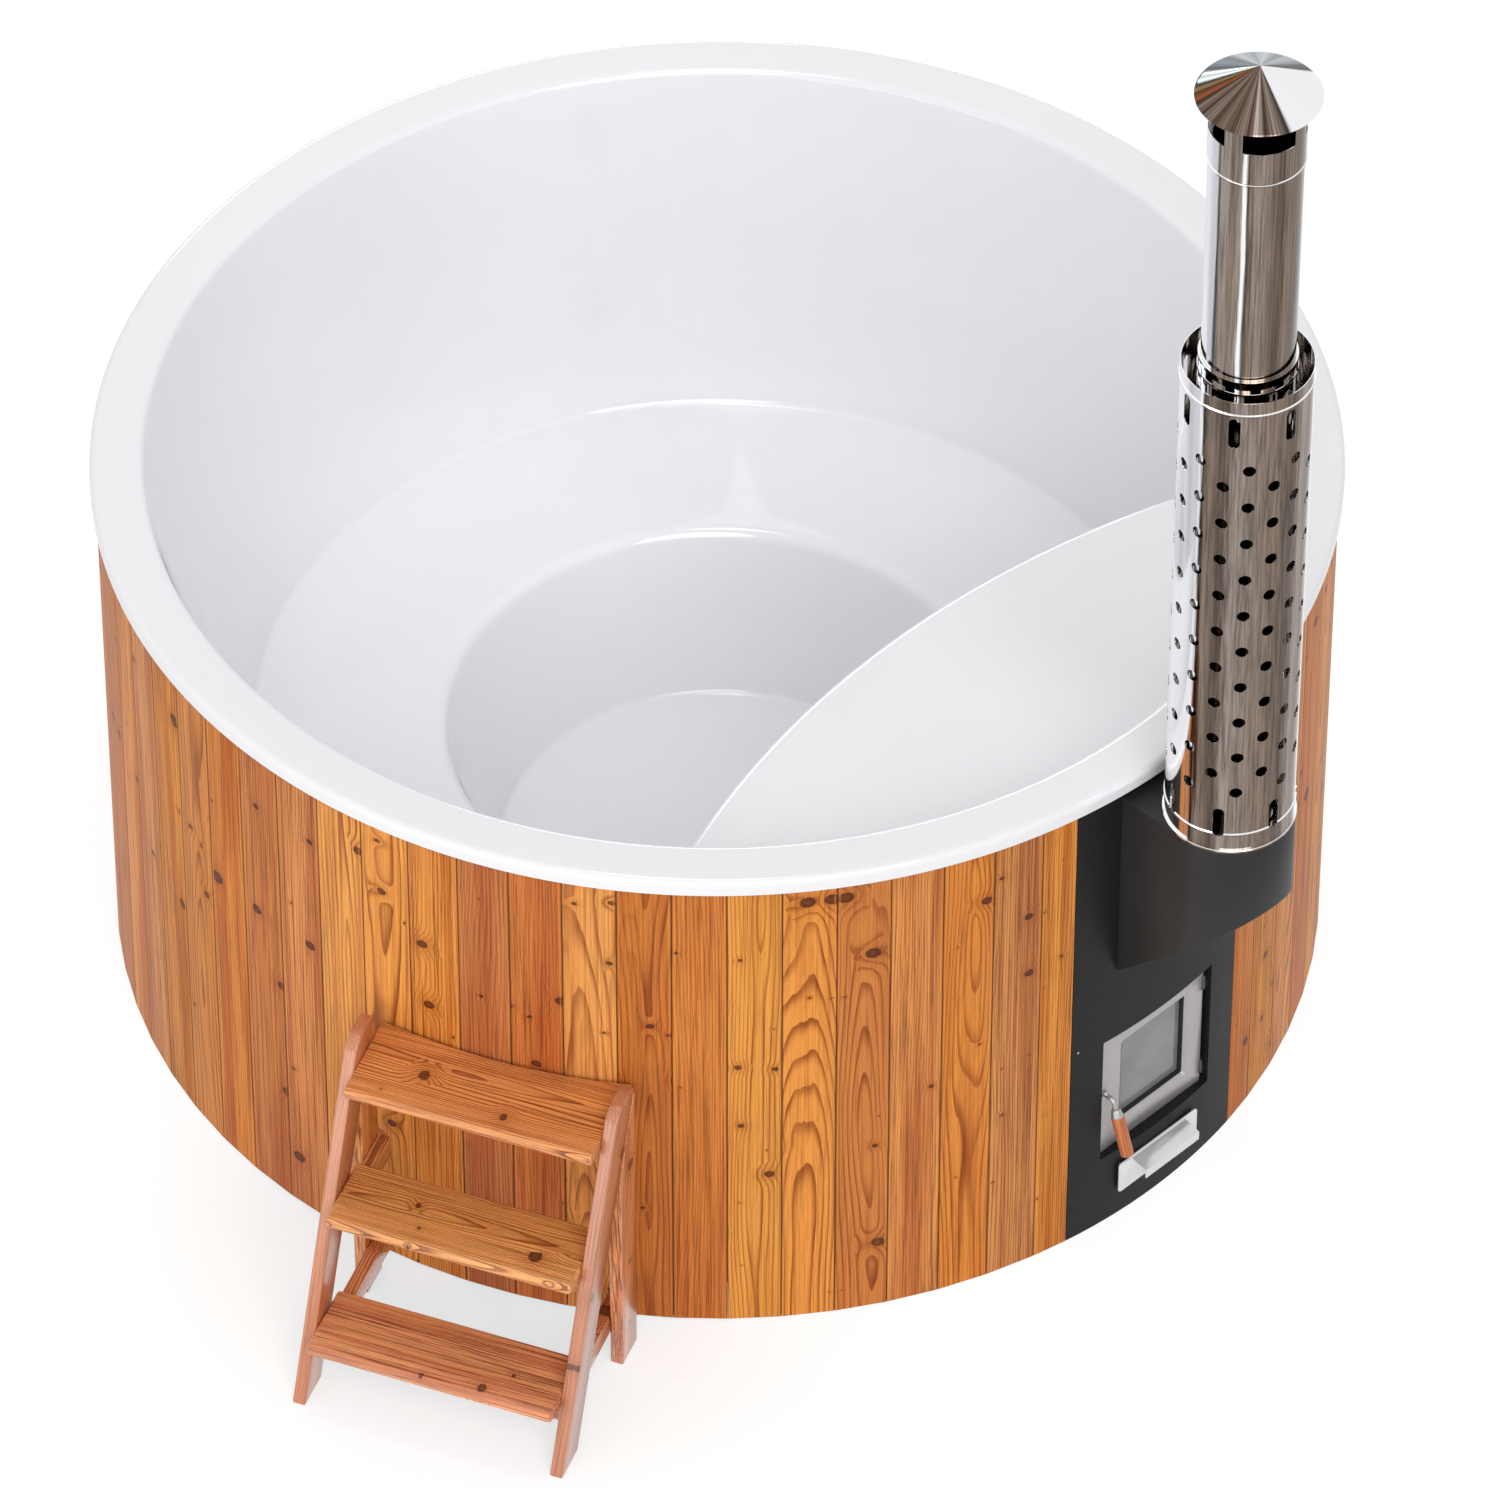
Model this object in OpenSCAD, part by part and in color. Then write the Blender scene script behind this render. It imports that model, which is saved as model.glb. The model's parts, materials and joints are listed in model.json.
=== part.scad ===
// Round wood-fired hot tub: a one-piece white shell clad in tongue-and-groove staves, with a
// water-jacketed stove behind a curved black panel, an outside chimney and a free-standing step ladder.
// Millimetres. The origin is on the tub's axis at the ground, +Z is up and the stove faces -Y.

/* [Tub] */
// Outer diameter of the white rim
rim_d = 2000; // [1800:10:2200]
// Height of the rim above the ground
tub_h = 980; // [930:5:1100]
// Width of the rim's flat top
rim_w = 84; // [70:1:110]
// How far the rim's skirt hangs down
rim_skirt = 27; // [22:1:40]
// How far the rim stands out past the cladding
rim_overhang = 7.3; // [7:0.1:12]
// Wall of the moulded shell
shell_t = 6; // [4:0.5:8]
// Backrest's lean from upright, in degrees
back_lean = 15.1; // [10:0.1:18]
// Height of the bench at the backrest
bench_z = 386; // [340:2:440]
// Width of the bench
bench_w = 310; // [260:5:340]
// How far the bench falls towards the footwell
bench_fall = 8; // [2:1:14]
// Height of the footwell's floor
floor_z = 93; // [90:1:120]
// Footwell wall's lean from upright, in degrees
foot_lean = 17; // [8:0.5:20]
// Fillet between the backrest and the bench
bench_fillet = 14; // [9:1:40]
// Fillet round the footwell's floor
floor_fillet = 14; // [9:1:40]
// How far the deck over the stove lies below the rim
deck_drop = 130; // [110:2:160]
// Radius of the deck's curved front in plan
deck_arc_r = 1647; // [1400:10:2000]
// Rounding of the deck's front edge
deck_edge_r = 14; // [9:1:20]

/* [Cladding] */
// Thickness of a stave
stave_t = 18.5; // [16:0.5:24]
// Nominal face width of a stave
stave_w = 85.5; // [75:0.5:110]
// Face width of the two staves beside the stove panel
edge_stave_w = 63; // [50:1:75]
// Gap at each seam
seam_gap = 0.6; // [0.4:0.1:1.2]
// Chamfer along each stave's outer edges
stave_chamfer = 1.2; // [0.5:0.1:2]
// Height of the staves' lower ends above the ground
stave_lift = 3; // [2:0.5:12]
// Thickness of the tongues
tongue_t = 5; // [4:0.5:6]
// Length of the tongues
tongue_l = 6; // [4:0.5:8]
// Thickness of the timber rings behind the staves
ring_t = 18; // [15:1:24]
// Width of the timber rings
ring_w = 44; // [30:1:48]

/* [Base] */
// Height of the floor joists
joist_h = 66; // [60:1:90]
// Width of the floor joists
joist_w = 45; // [38:1:60]
// Distance between the joists
joist_pitch = 300; // [280:10:330]

/* [Stove panel] */
// Arc width of the black panel
panel_w = 379.5; // [360:0.5:420]
// Sheet thickness of the panel and the chimney housing
sheet_t = 2; // [1.5:0.5:3]
// Width of the door opening in the panel
door_open_w = 250; // [230:1:270]
// Height of the door opening's sill above the ground
door_sill = 149; // [146:1:160]
// Height of the door opening
door_open_h = 264; // [240:1:300]
// Height of the panel's screw above the ground
panel_screw_z = 423; // [300:1:600]

/* [Stove door] */
// Width of the door
door_w = 233; // [215:1:235]
// Height of the door
door_h = 250; // [230:1:255]
// Thickness of the door frame
door_t = 25; // [22:1:30]
// How far the door's face lies behind the panel's front
door_recess = 17.7; // [16:0.1:22]
// Width of the door's window
window_w = 146; // [120:1:150]
// Height of the door's window
window_h = 175; // [140:1:180]
// Height of the window's lower edge above the door's
window_sill = 41; // [38:1:50]
// How far the window lies from the door's middle, towards the hinges
window_shift = 6; // [-8:0.5:10]
// Bevel round the window
window_bevel = 6; // [4:0.5:8]
// Thickness of the door's glass
glass_t = 4; // [3:0.5:5]
// Gap that the rope seal fills behind the door
seal_gap = 8; // [7:0.5:10]
// Diameter of the hinge pins
hinge_pin_d = 4; // [3:0.5:5]

/* [Door handle] */
// Height of the handle's spindle above the door's lower edge
handle_z = 130; // [110:1:150]
// Diameter of the handle's rod
rod_d = 8; // [6:0.5:9]
// How far the handle's rod stands out before it bends
rod_out = 10.5; // [6:0.5:16]
// Radius of the rod's bend
rod_bend_r = 12; // [10:1:18]
// Length of the wooden grip
grip_l = 74; // [60:1:90]
// Diameter of the wooden grip
grip_d = 22; // [16:0.5:24]

/* [Ash drawer] */
// Width of the drawer's front plate
drawer_w = 182; // [176:1:220]
// Height of the drawer's front plate
drawer_h = 64; // [62:1:70]
// Height of the front plate's lower edge above the ground
drawer_z = 56; // [54:1:58]
// How far the drawer's tray reaches past the grate
tray_past = 17; // [5:1:60]
// Width of the folded lip
lip_w = 124; // [90:1:150]
// How far the lip stands out
lip_out = 32; // [26:1:44]

/* [Stove] */
// Width of the stove's jacket
stove_w = 380; // [370:2:400]
// Depth of the stove's jacket
stove_l = 407; // [395:1:430]
// Gap between the deck and the stove's top
stove_drop = 38; // [36:1:60]
// Length of the stove's feet
stove_foot_h = 45; // [42:1:48]
// Width of the water space round the firebox
water_gap = 27; // [20:1:32]
// Outer diameter of the water pipes to the tub
port_d = 56; // [48:1:60]
// How far the upper water pipe's axis lies below the deck
port_drop = 210; // [205:1:225]
// How far the wall in front of the stove cuts into the footwell's mouth
bulkhead_in = 30.7; // [26:0.1:40]

/* [Chimney] */
// Outer diameter of the flue pipe
flue_d = 143; // [130:1:148]
// Wall of the flue pipe
flue_t = 1.5; // [1:0.1:2]
// Distance of the flue's axis from the panel
flue_out = 124.3; // [118:0.1:140]
// Outer diameter of the perforated sleeve
sleeve_d = 202; // [190:1:205]
// Wall of the perforated sleeve
sleeve_t = 1.2; // [1:0.1:2]
// Height of the sleeve above the housing
sleeve_l = 923; // [800:1:1000]
// Diameter of the sleeve's round holes
vent_d = 20; // [12:1:24]
// Height between the sleeve's rows of holes
vent_pitch = 74; // [60:1:90]
// Height of the chimney cap's lower edge
cap_z = 2266; // [2150:1:2500]
// Height of the cap's collar
cap_l = 118; // [90:1:140]
// Diameter of the cap's cone
cone_d = 190; // [170:1:220]
// Height of the cap's cone
cone_h = 54; // [40:1:70]

/* [Chimney housing] */
// Width of the black housing round the flue's bend
housing_w = 206; // [200:1:220]
// How far the housing's top lies below the rim
housing_drop = 42; // [30:1:60]
// How far the housing's underside at the panel lies below the flue's outlet
housing_fall = 133; // [130:1:150]

/* [Drain] */
// How far the drain lies in from the footwell's wall
drain_in = 116.5; // [105:0.5:140]
// Direction of the drain from the stove's side, in degrees
drain_turn = 38.3; // [25:0.1:60]
// Gap between the drain pipe and the joist next to it on the stove's side
drain_gap = 67.511; // [40:0.001:80]
// Outer diameter of the drain pipe
drain_d = 40; // [32:1:42]
// Height of the drain pipe's axis
drain_z = 36; // [34:1:38]
// Diameter of the drain valve's outlet
outlet_d = 48; // [42:1:50]
// Length of the drain valve's outlet
outlet_l = 30; // [20:1:40]
// Length of the drain valve's lever
lever_l = 110; // [80:1:130]

/* [Ladder] */
// Width over the ladder's stringers
ladder_w = 458; // [400:1:560]
// Direction of the ladder from the tub's axis, in degrees
ladder_turn = -156.15; // [-175:0.05:-140]
// Sideways offset of the ladder's middle
ladder_shift = 23; // [-40:1:40]
// Gap between the cladding and the ladder's back
ladder_gap = 17.3; // [12:0.1:40]
// Thickness of the ladder's boards
board_t = 21.5; // [18:0.5:28]
// Width of the stringers and rear legs
board_w = 62; // [55:1:75]
// Lean of the stringers from upright, in degrees
ladder_lean = 24; // [20:0.5:27]
// Height of the ladder's top
ladder_h = 575; // [545:1:620]
// Height of the bottom tread's top face
first_step = 127; // [110:1:150]
// Height from one tread to the next
step_rise = 202; // [180:1:215]
// Depth of the two lower treads
tread_l = 135; // [115:1:145]
// How far a tread's nose stands out past the stringers
nose_out = 47; // [30:1:55]
// Height of the cleats under the treads
cleat_h = 40; // [30:1:50]

/* [Hidden] */
$fn = 96;

// Shared clearances
fit = 0.3;        // between pieces that lie beside each other
run = 0.05;       // radial, round a pin or spindle that turns
eps = 1;          // overshoot of a cutter

// Colours
white = [0.93, 0.93, 0.94];
wood = [0.73, 0.42, 0.2];
dark_wood = [0.62, 0.36, 0.2];
pine = [0.8, 0.66, 0.47];
black_steel = [0.17, 0.16, 0.16];
steel = [0.72, 0.72, 0.72];
polished = [0.6, 0.58, 0.56];
iron = [0.22, 0.22, 0.22];
rope = [0.55, 0.54, 0.5];
brass = [0.8, 0.65, 0.35];

// Tub, worked out
rim_r = rim_d / 2;
rim_in_r = rim_r - rim_w;
skirt_z = tub_h - rim_skirt;
bench_r = rim_in_r - (tub_h - bench_z) * tan(back_lean);
ledge_r = bench_r - bench_w;
ledge_z = bench_z - bench_fall;
foot_r = ledge_r - (ledge_z - floor_z) * tan(foot_lean);
deck_z = tub_h - deck_drop;
ledge_round = 25;
rim_round = 14;
arc_steps = 6;

// Cladding and panel, worked out
stave_r = rim_r - rim_overhang;
stave_top = tub_h - shell_t - 6;
stave_pitch_target = deg_of(stave_w);
panel_half = deg_of(panel_w) / 2;
screw_in = 0.75;   // degrees from the panel's edge
screw_r = 1.2;
edge_deg = deg_of(edge_stave_w);
stave_count = round((360 - 2 * panel_half - 2 * edge_deg) / stave_pitch_target);
stave_pitch = (360 - 2 * panel_half - 2 * edge_deg) / stave_count;
seam_total = stave_count + 2;
ring_r = stave_r * cos(stave_pitch / 2) - stave_t - fit;
panel_in_r = stave_r - sheet_t;
group_ends = [for (share = [0, 1/6, 1/3, 1/2, 2/3, 5/6, 1]) round(share * seam_total)];

// Stove door, worked out. Depths are distances from the tub's axis towards the stove's side.
door_face = stave_r - door_recess;
door_back = door_face - door_t;
door_z = door_sill + 1;
door_mid_z = door_z + door_h / 2;
window_z = door_z + window_sill;
window_round = 2;
plate_t = 5;
plate_face = door_back - seal_gap;
stove_front = plate_face - plate_t;
stove_back = stove_front - stove_l;
bulkhead = ledge_r - bulkhead_in;
hinge_x = door_w / 2 + 3;
hinge_face = door_face - 3;
knuckle_r = hinge_pin_d / 2 + 2.4;
knuckle_l = 14;
pocket = knuckle_r + 1.2;
spindle_x = -door_w / 2 + 8.5;
spindle_z = door_z + handle_z;
grip_tilt = 18.5;
ferrule_l = 14;
rod_tail = 8.5;
keeper_t = 2;
rebate = 9;
rebate_t = glass_t + 8;
seal_w = 10;
seal_in = 17;

// Ash drawer, worked out
tray_clear = 4;
tray_w = drawer_w - 22;
tray_h = 52;
tray_z = drawer_z + 4;
tray_t = 1.5;
front_t = 2.5;
front_back = stave_r + 1;
ash_w = tray_w + 2 * tray_clear;
ash_z = tray_z - 0.6;
ash_top = tray_z + tray_h + tray_clear;

// Stove, worked out
stove_top = deck_z - stove_drop;
jacket_t = 3;
liner_t = 5;
liner_w = stove_w - 2 * jacket_t - 2 * water_gap;
liner_back = stove_back + jacket_t + water_gap;
liner_top = stove_top - jacket_t - water_gap;
liner_z = stove_foot_h + jacket_t + 5;
hearth_z = ash_top + 18;
grate_w = 156;
grate_l = 216;
grate_mid = (stove_front + liner_back) / 2 + 10;
tray_l = front_back - grate_mid + grate_l / 2 + tray_past;
port_hi_z = deck_z - port_drop;
port_lo_z = ledge_z - 46;
port_r = port_d / 2;
flange_r = port_r + 20;

// Chimney, worked out
flue_r = flue_d / 2;
flue_y = stave_r + flue_out;
flue_outlet_z = liner_top - liner_t - flue_r - 5.5;
bend_r = flue_y - plate_face - 3;
bend_top = flue_outlet_z + bend_r;
panel_hole_z = bend_top - sqrt(pow(bend_r, 2) - pow(stave_r - flue_y + bend_r, 2));
seat_h = 10;
spigot_l = 40;
flue_end = cap_z + 40;
housing_top = tub_h - housing_drop;
housing_foot_z = flue_outlet_z - housing_fall;
housing_r = housing_w / 2;
sleeve_r = sleeve_d / 2;
flange_t = 5;
sleeve_z = housing_top + flange_t;
sleeve_top = sleeve_z + sleeve_l;
bead_r = 3;
low_bead = sleeve_z + 32;
top_bead = sleeve_top - 25;
slot_l = 58;
slot_d = 18;
slot_count = 7;
slot_phase = -57.5;
vent_columns = 16;
vent_phase = -43.3;
top_slot_z = top_bead - 36;
low_slot_z = low_bead + 25;
first_vent = top_slot_z - 74;
collar_r = flue_r + 4;
vent_collar_z = sleeve_top - 51;
vent_collar_h = 69;
cap_fit = 0.7;
cap_t = 1.2;
cap_r = flue_r + cap_fit + cap_t;
cone_z = cap_z + cap_l;
cone_r = cone_d / 2;

// Drain, worked out
drain_r = drain_d / 2;
drain_x = (foot_r - drain_in) * sin(drain_turn);
drain_y = (foot_r - drain_in) * cos(drain_turn);
drain_wall = 2.5;
near_joist = -drain_y - drain_r - drain_gap - joist_w / 2;
valve_x = stave_r + 13.3;
valve_l = 70;
valve_r = drain_r + 9;
ball_r = drain_r + 3.7;
stem_r = 5;
lever_z = drain_z + valve_r + 8;

// Ladder, worked out. Its own frame has +X away from the tub and +Y along the treads.
ladder_back = stave_r + ladder_gap;
stringer_l = board_w / cos(ladder_lean);
ladder_foot = ladder_back + ladder_h * tan(ladder_lean) + stringer_l;
left_side = ladder_shift - ladder_w / 2;
right_side = ladder_shift + ladder_w / 2;
tread_zs = [first_step, first_step + step_rise, first_step + 2 * step_rise];
tread_w = ladder_w - 2 * board_t - 2 * fit;

// Angle that an arc of this length takes on the cladding
function deg_of(arc) = arc / (rim_d / 2 - rim_overhang) * 180 / PI;

// Front edge of a stringer at a height
function stringer_front(z) = ladder_foot - z * tan(ladder_lean);

function unit(v) = v / norm(v);

// Where the line from p along d meets the line from q along e
function crossing(p, d, q, e) = p + d * (((q - p)[0] * e[1] - (q - p)[1] * e[0]) / (d[0] * e[1] - d[1] * e[0]));

// Points of an arc of radius r that rounds the corner b between a and c
function corner_arc(a, b, c, r, n) =
    let (
        u = unit(a - b),
        v = unit(c - b),
        half = acos(u * v) / 2,
        mid = b + unit(u + v) * r / sin(half),
        from = b + u * r / tan(half) - mid,
        to = b + v * r / tan(half) - mid,
        start = atan2(from[1], from[0]),
        turn = atan2(to[1], to[0]) - start,
        sweep = turn > 180 ? turn - 360 : turn < -180 ? turn + 360 : turn
    )
    [for (i = [0 : n]) mid + r * [cos(start + sweep * i / n), sin(start + sweep * i / n)]];

// Shell section: its inner face from the floor's middle over the bench and the rim to the skirt
shell_face = [
    [0, floor_z], [foot_r, floor_z], [ledge_r, ledge_z], [bench_r, bench_z],
    [rim_in_r, tub_h], [rim_r, tub_h], [rim_r, skirt_z],
];
shell_rounds = [0, floor_fillet, ledge_round, bench_fillet, rim_round, rim_round - 2];
shell_turns = [0, 1, -1, 1, -1, -1];

// The same face moved out by g: its corner i, before rounding
function moved(i, g) = let (d = unit(shell_face[i + 1] - shell_face[i])) shell_face[i] + g * [d[1], -d[0]];
function heading(i) = shell_face[i + 1] - shell_face[i];
function face_corner(i, g) =
    i == 0 ? [0, floor_z - g]
    : i == 6 ? [rim_r - g, skirt_z]
    : crossing(moved(i - 1, g), heading(i - 1), moved(i, g), heading(i));
function face_arc(i, g) =
    corner_arc(face_corner(i - 1, g), face_corner(i, g), face_corner(i + 1, g),
        shell_rounds[i] + shell_turns[i] * g, arc_steps);

// Seam k between the staves, as an angle from the stove's side, counter-clockwise from above
function seam(k) =
    k == 0 ? panel_half
    : k <= stave_count + 1 ? panel_half + edge_deg + (k - 1) * stave_pitch
    : 360 - panel_half;

// A stave's section, half its angle wide each way: [across, distance from the axis]
function stave_section(half, grooved, tongued) =
    let (
        outer = stave_r * cos(half),
        inner = outer - stave_t,
        mid = outer - stave_t / 2,
        hi = mid + tongue_t / 2,
        lo = mid - tongue_t / 2,
        hi_g = hi + fit,
        lo_g = lo - fit,
        reach = tongue_l * [cos(half), -sin(half)],
        depth = (tongue_l + 2 * fit) * [cos(half), sin(half)],
        c = stave_chamfer
    )
    concat(
        [[c - side(outer, half), outer], [side(outer, half) - c, outer], [side(outer - c, half), outer - c]],
        tongued ? [
            [side(hi, half), hi], [side(hi, half), hi] + reach,
            [side(lo, half), lo] + reach, [side(lo, half), lo],
        ] : [],
        [[side(inner, half), inner], [-side(inner, half), inner]],
        grooved ? [
            [-side(lo_g, half), lo_g], [-side(lo_g, half), lo_g] + depth,
            [-side(hi_g, half), hi_g] + depth, [-side(hi_g, half), hi_g],
        ] : [],
        [[-side(outer - c, half), outer - c]]
    );
function side(reach, half) = reach * tan(half) - seam_gap / 2;

// ---- Shared shapes ----

// Cylinder along -Y from y = -near to y = -far
module rod_y(r, near, far) {
    translate([0, -near, 0]) rotate([90, 0, 0]) cylinder(r = r, h = far - near);
}

// Block between two corners
module block(a, b) {
    translate(a) cube(b - a);
}

// Plate of width w and height h in the XZ plane, from y = -near to y = -far, with round corners
module round_plate(w, h, r, near, far) {
    translate([0, -near, 0]) rotate([90, 0, 0]) linear_extrude(far - near) {
        difference() {
            square([w, h], center = true);
            for (sx = [-1, 1], sz = [-1, 1]) {
                translate([sx * (w / 2 - r), sz * (h / 2 - r)])
                    rotate(sx > 0 ? (sz > 0 ? 0 : -90) : (sz > 0 ? 90 : 180))
                    difference() {
                        square(r + eps);
                        circle(r = r);
                    }
            }
        }
    }
}

// Tube round the Z axis
module tube(r_out, r_in, z0, z1) {
    translate([0, 0, z0]) difference() {
        cylinder(r = r_out, h = z1 - z0);
        translate([0, 0, -eps]) cylinder(r = r_in, h = z1 - z0 + 2 * eps);
    }
}

module at_flue() {
    translate([0, -flue_y, 0]) children();
}

module at_ladder() {
    rotate([0, 0, ladder_turn]) children();
}

// ---- Shell ----

// Everything below the deck and in front of the bulkhead, drawn in by g
module stove_bay(g) {
    r = deck_arc_r - g;
    edge = corner_arc([r, 0], [r, deck_z - g], [0, deck_z - g], deck_edge_r - g, arc_steps);
    translate([0, -bulkhead - deck_arc_r, 0]) rotate_extrude($fn = 240)
        polygon(concat([[0, -20], [r, -20]], edge, [[0, deck_z - g]]));
}

module acrylic_shell() {
    outer = [for (i = [1 : 5]) face_arc(i, shell_t)];
    inner = [for (i = [1 : 4]) face_arc(i, 0)];
    inner_end = inner[3][arc_steps];
    color(white) difference() {
        rotate_extrude($fn = 180) polygon(concat(
            [face_corner(0, shell_t)], outer[0], outer[1], outer[2], outer[3], outer[4],
            [face_corner(6, shell_t), face_corner(6, 0)], [for (i = [arc_steps : -1 : 0]) face_arc(5, 0)[i]],
            [[0, tub_h]]
        ));
        stove_bay(shell_t);
        difference() {
            rotate_extrude($fn = 180) polygon(concat(
                [face_corner(0, 0)], inner[0], inner[1], inner[2], inner[3],
                [[inner_end[0], tub_h + eps], [0, tub_h + eps]]
            ));
            stove_bay(0);
        }
        translate([drain_x, -drain_y, 0]) cylinder(r = drain_r + fit, h = floor_z + eps);
        for (z = [port_hi_z, port_lo_z])
            translate([0, 0, z]) rod_y(port_r + fit, bulkhead - 20, bulkhead + 20);
    }
}

// ---- Cladding ----

module stave_group(g) {
    color(wood) difference() {
        for (k = [group_ends[g] : group_ends[g + 1] - 1]) {
            half = (seam(k + 1) - seam(k)) / 2;
            section = stave_section(half, k > 0, k < seam_total - 1);
            rotate([0, 0, seam(k) + half]) translate([0, 0, stave_lift]) linear_extrude(stave_top - stave_lift)
                polygon([for (p = section) [p[0], -p[1]]]);
        }
        if (g == 1)
            translate([0, -drain_y, drain_z]) rotate([0, 90, 0]) cylinder(r = drain_r + 3, h = rim_d);
    }
}

module staves_front_right() { stave_group(0); }
module staves_right() { stave_group(1); }
module staves_back_right() { stave_group(2); }
module staves_back_left() { stave_group(3); }
module staves_left() { stave_group(4); }
module staves_front_left() { stave_group(5); }

// Timber ring behind the staves, cut out at the stove if open
module ring(z, open) {
    color(pine) difference() {
        tube(ring_r, ring_r - ring_w, z, z + ring_t);
        if (open)
            block([-stove_w / 2 - 15, -rim_d, z - eps], [stove_w / 2 + 15, -stove_back, z + ring_t + eps]);
    }
}

module upper_ring() { ring(skirt_z - ring_t, false); }
module middle_ring() { ring((bench_z + skirt_z) / 2 - 180, true); }
module lower_ring() { ring(floor_z - shell_t + fit, true); }

// ---- Base ----

module base_board() {
    color(pine) difference() {
        translate([0, 0, joist_h]) cylinder(r = ring_r, h = floor_z - shell_t - joist_h);
        block([-stove_w / 2 - 15, -rim_d, 0], [stove_w / 2 + 15, -stove_back + 15, floor_z]);
        translate([drain_x, -drain_y, 0]) cylinder(r = drain_r + 3, h = floor_z);
    }
}

module base_joists() {
    gap = stove_w / 2 + 25;
    color(pine) for (row = [-1 : 3]) {
        y = near_joist + row * joist_pitch;
        reach = sqrt(pow(ring_r - 12, 2) - pow(abs(y) + joist_w / 2, 2));
        if (row == -1)
            for (s = [0, 1]) mirror([s, 0, 0]) block([gap, y - joist_w / 2, 0], [reach, y + joist_w / 2, joist_h]);
        else
            block([-reach, y - joist_w / 2, 0], [reach, y + joist_w / 2, joist_h]);
    }
}

// ---- Drain ----

module drain_strainer() {
    strainer_r = drain_r * 2;
    color(steel) translate([drain_x, -drain_y, 0]) difference() {
        union() {
            translate([0, 0, floor_z + 0.1]) cylinder(r = strainer_r, h = 3);
            translate([0, 0, floor_z - shell_t - 4]) cylinder(r = drain_r - drain_wall - 0.2, h = shell_t + 5);
        }
        for (ring_of = [[6, 9], [10, 15]], i = [0 : ring_of[0] - 1])
            rotate([0, 0, i * 360 / ring_of[0]])
                translate([min(ring_of[1], drain_r - drain_wall - 3) * 0.8, 0, 0])
                    cylinder(r = 1.9, h = tub_h, $fn = 24);
    }
}

module drain_pipe() {
    color([0.8, 0.8, 0.8]) translate([drain_x, -drain_y, drain_z]) difference() {
        union() {
            sphere(r = drain_r);
            cylinder(r = drain_r, h = floor_z - shell_t - drain_z - 0.1);
            rotate([0, 90, 0]) cylinder(r = drain_r, h = valve_x - drain_x);
        }
        sphere(r = drain_r - drain_wall);
        cylinder(r = drain_r - drain_wall, h = tub_h);
        rotate([0, 90, 0]) cylinder(r = drain_r - drain_wall, h = rim_d);
    }
}

module drain_valve_body() {
    color(brass) translate([valve_x, -drain_y, drain_z]) difference() {
        union() {
            rotate([0, 90, 0]) cylinder(r = valve_r, h = valve_l);
            rotate([0, 90, 0]) cylinder(r = outlet_d / 2, h = valve_l + outlet_l);
            translate([valve_l / 2, 0, 0]) cylinder(r = stem_r + 4, h = valve_r + 5);
        }
        translate([-eps, 0, 0]) rotate([0, 90, 0]) cylinder(r = drain_r - drain_wall, h = rim_d);
        translate([valve_l / 2, 0, 0]) sphere(r = ball_r + fit);
        translate([valve_l / 2, 0, 0]) cylinder(r = stem_r + run, h = valve_r + 20);
    }
}

module drain_valve_ball() {
    color(steel) translate([valve_x + valve_l / 2, -drain_y, drain_z]) difference() {
        union() {
            sphere(r = ball_r);
            cylinder(r = stem_r, h = lever_z - drain_z);
        }
        rotate([90, 0, 0]) cylinder(r = drain_r - drain_wall - 1, h = 2 * ball_r + 2, center = true);
    }
}

module drain_valve_lever() {
    lever_w = 18;
    lever_t = 4;
    color([0.7, 0.12, 0.1]) translate([valve_x + valve_l / 2, -drain_y, lever_z]) {
        cylinder(r = lever_w / 2, h = lever_t);
        block([-lever_w / 2, 0, 0], [lever_w / 2, lever_l - lever_w / 2, lever_t]);
        translate([0, lever_l - lever_w / 2, 0]) cylinder(r = lever_w / 2, h = lever_t);
    }
}

// ---- Stove panel and the door's surround ----

module at_panel_screw() { rotate([0, 0, screw_in - panel_half]) translate([0, 0, panel_screw_z]) children(); }

module stove_panel() {
    color(black_steel) difference() {
        rotate([0, 0, -90 - panel_half + 0.03]) rotate_extrude(angle = 2 * panel_half - 0.06, $fn = 180)
            translate([panel_in_r, stave_lift]) square([sheet_t, stave_top - stave_lift]);
        block([-door_open_w / 2, -rim_d, door_sill], [door_open_w / 2, -door_back, door_sill + door_open_h]);
        block([-ash_w / 2, -rim_d, ash_z], [ash_w / 2, -door_back, ash_top]);
        translate([0, 0, panel_hole_z]) rod_y(flue_r + 6, door_back, rim_d);
        at_panel_screw() rod_y(screw_r + 0.2, panel_in_r - 5, rim_d);
    }
}

module panel_screw() {
    color(steel) at_panel_screw() {
        rod_y(screw_r + 1, stave_r, stave_r + 1);
        rod_y(screw_r, panel_in_r - 12, stave_r + eps);
    }
}

// Sheet jamb that lines the door opening from the panel back to the stove
module door_surround() {
    mid = door_sill + door_open_h / 2;
    color(black_steel) intersection() {
        difference() {
            translate([0, 0, mid])
                round_plate(door_open_w + 2 * sheet_t, door_open_h + 2 * sheet_t, sheet_t, plate_face, rim_r);
            translate([0, 0, mid]) round_plate(door_open_w, door_open_h, 1, plate_face - eps, rim_r + eps);
        }
        translate([0, 0, door_sill - 10]) cylinder(r = panel_in_r - 0.05, h = door_open_h + 20, $fn = 180);
    }
}

module latch_keeper() {
    lip_x = -door_w / 2 - 1;
    color(steel) {
        block([-door_open_w / 2, -door_back - 2.5, spindle_z - 16], [lip_x, -door_back + 0.6, spindle_z + 16]);
        block([-door_open_w / 2, -door_back, spindle_z - 16],
            [-door_open_w / 2 + keeper_t, -plate_face, spindle_z + 16]);
    }
}

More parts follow.
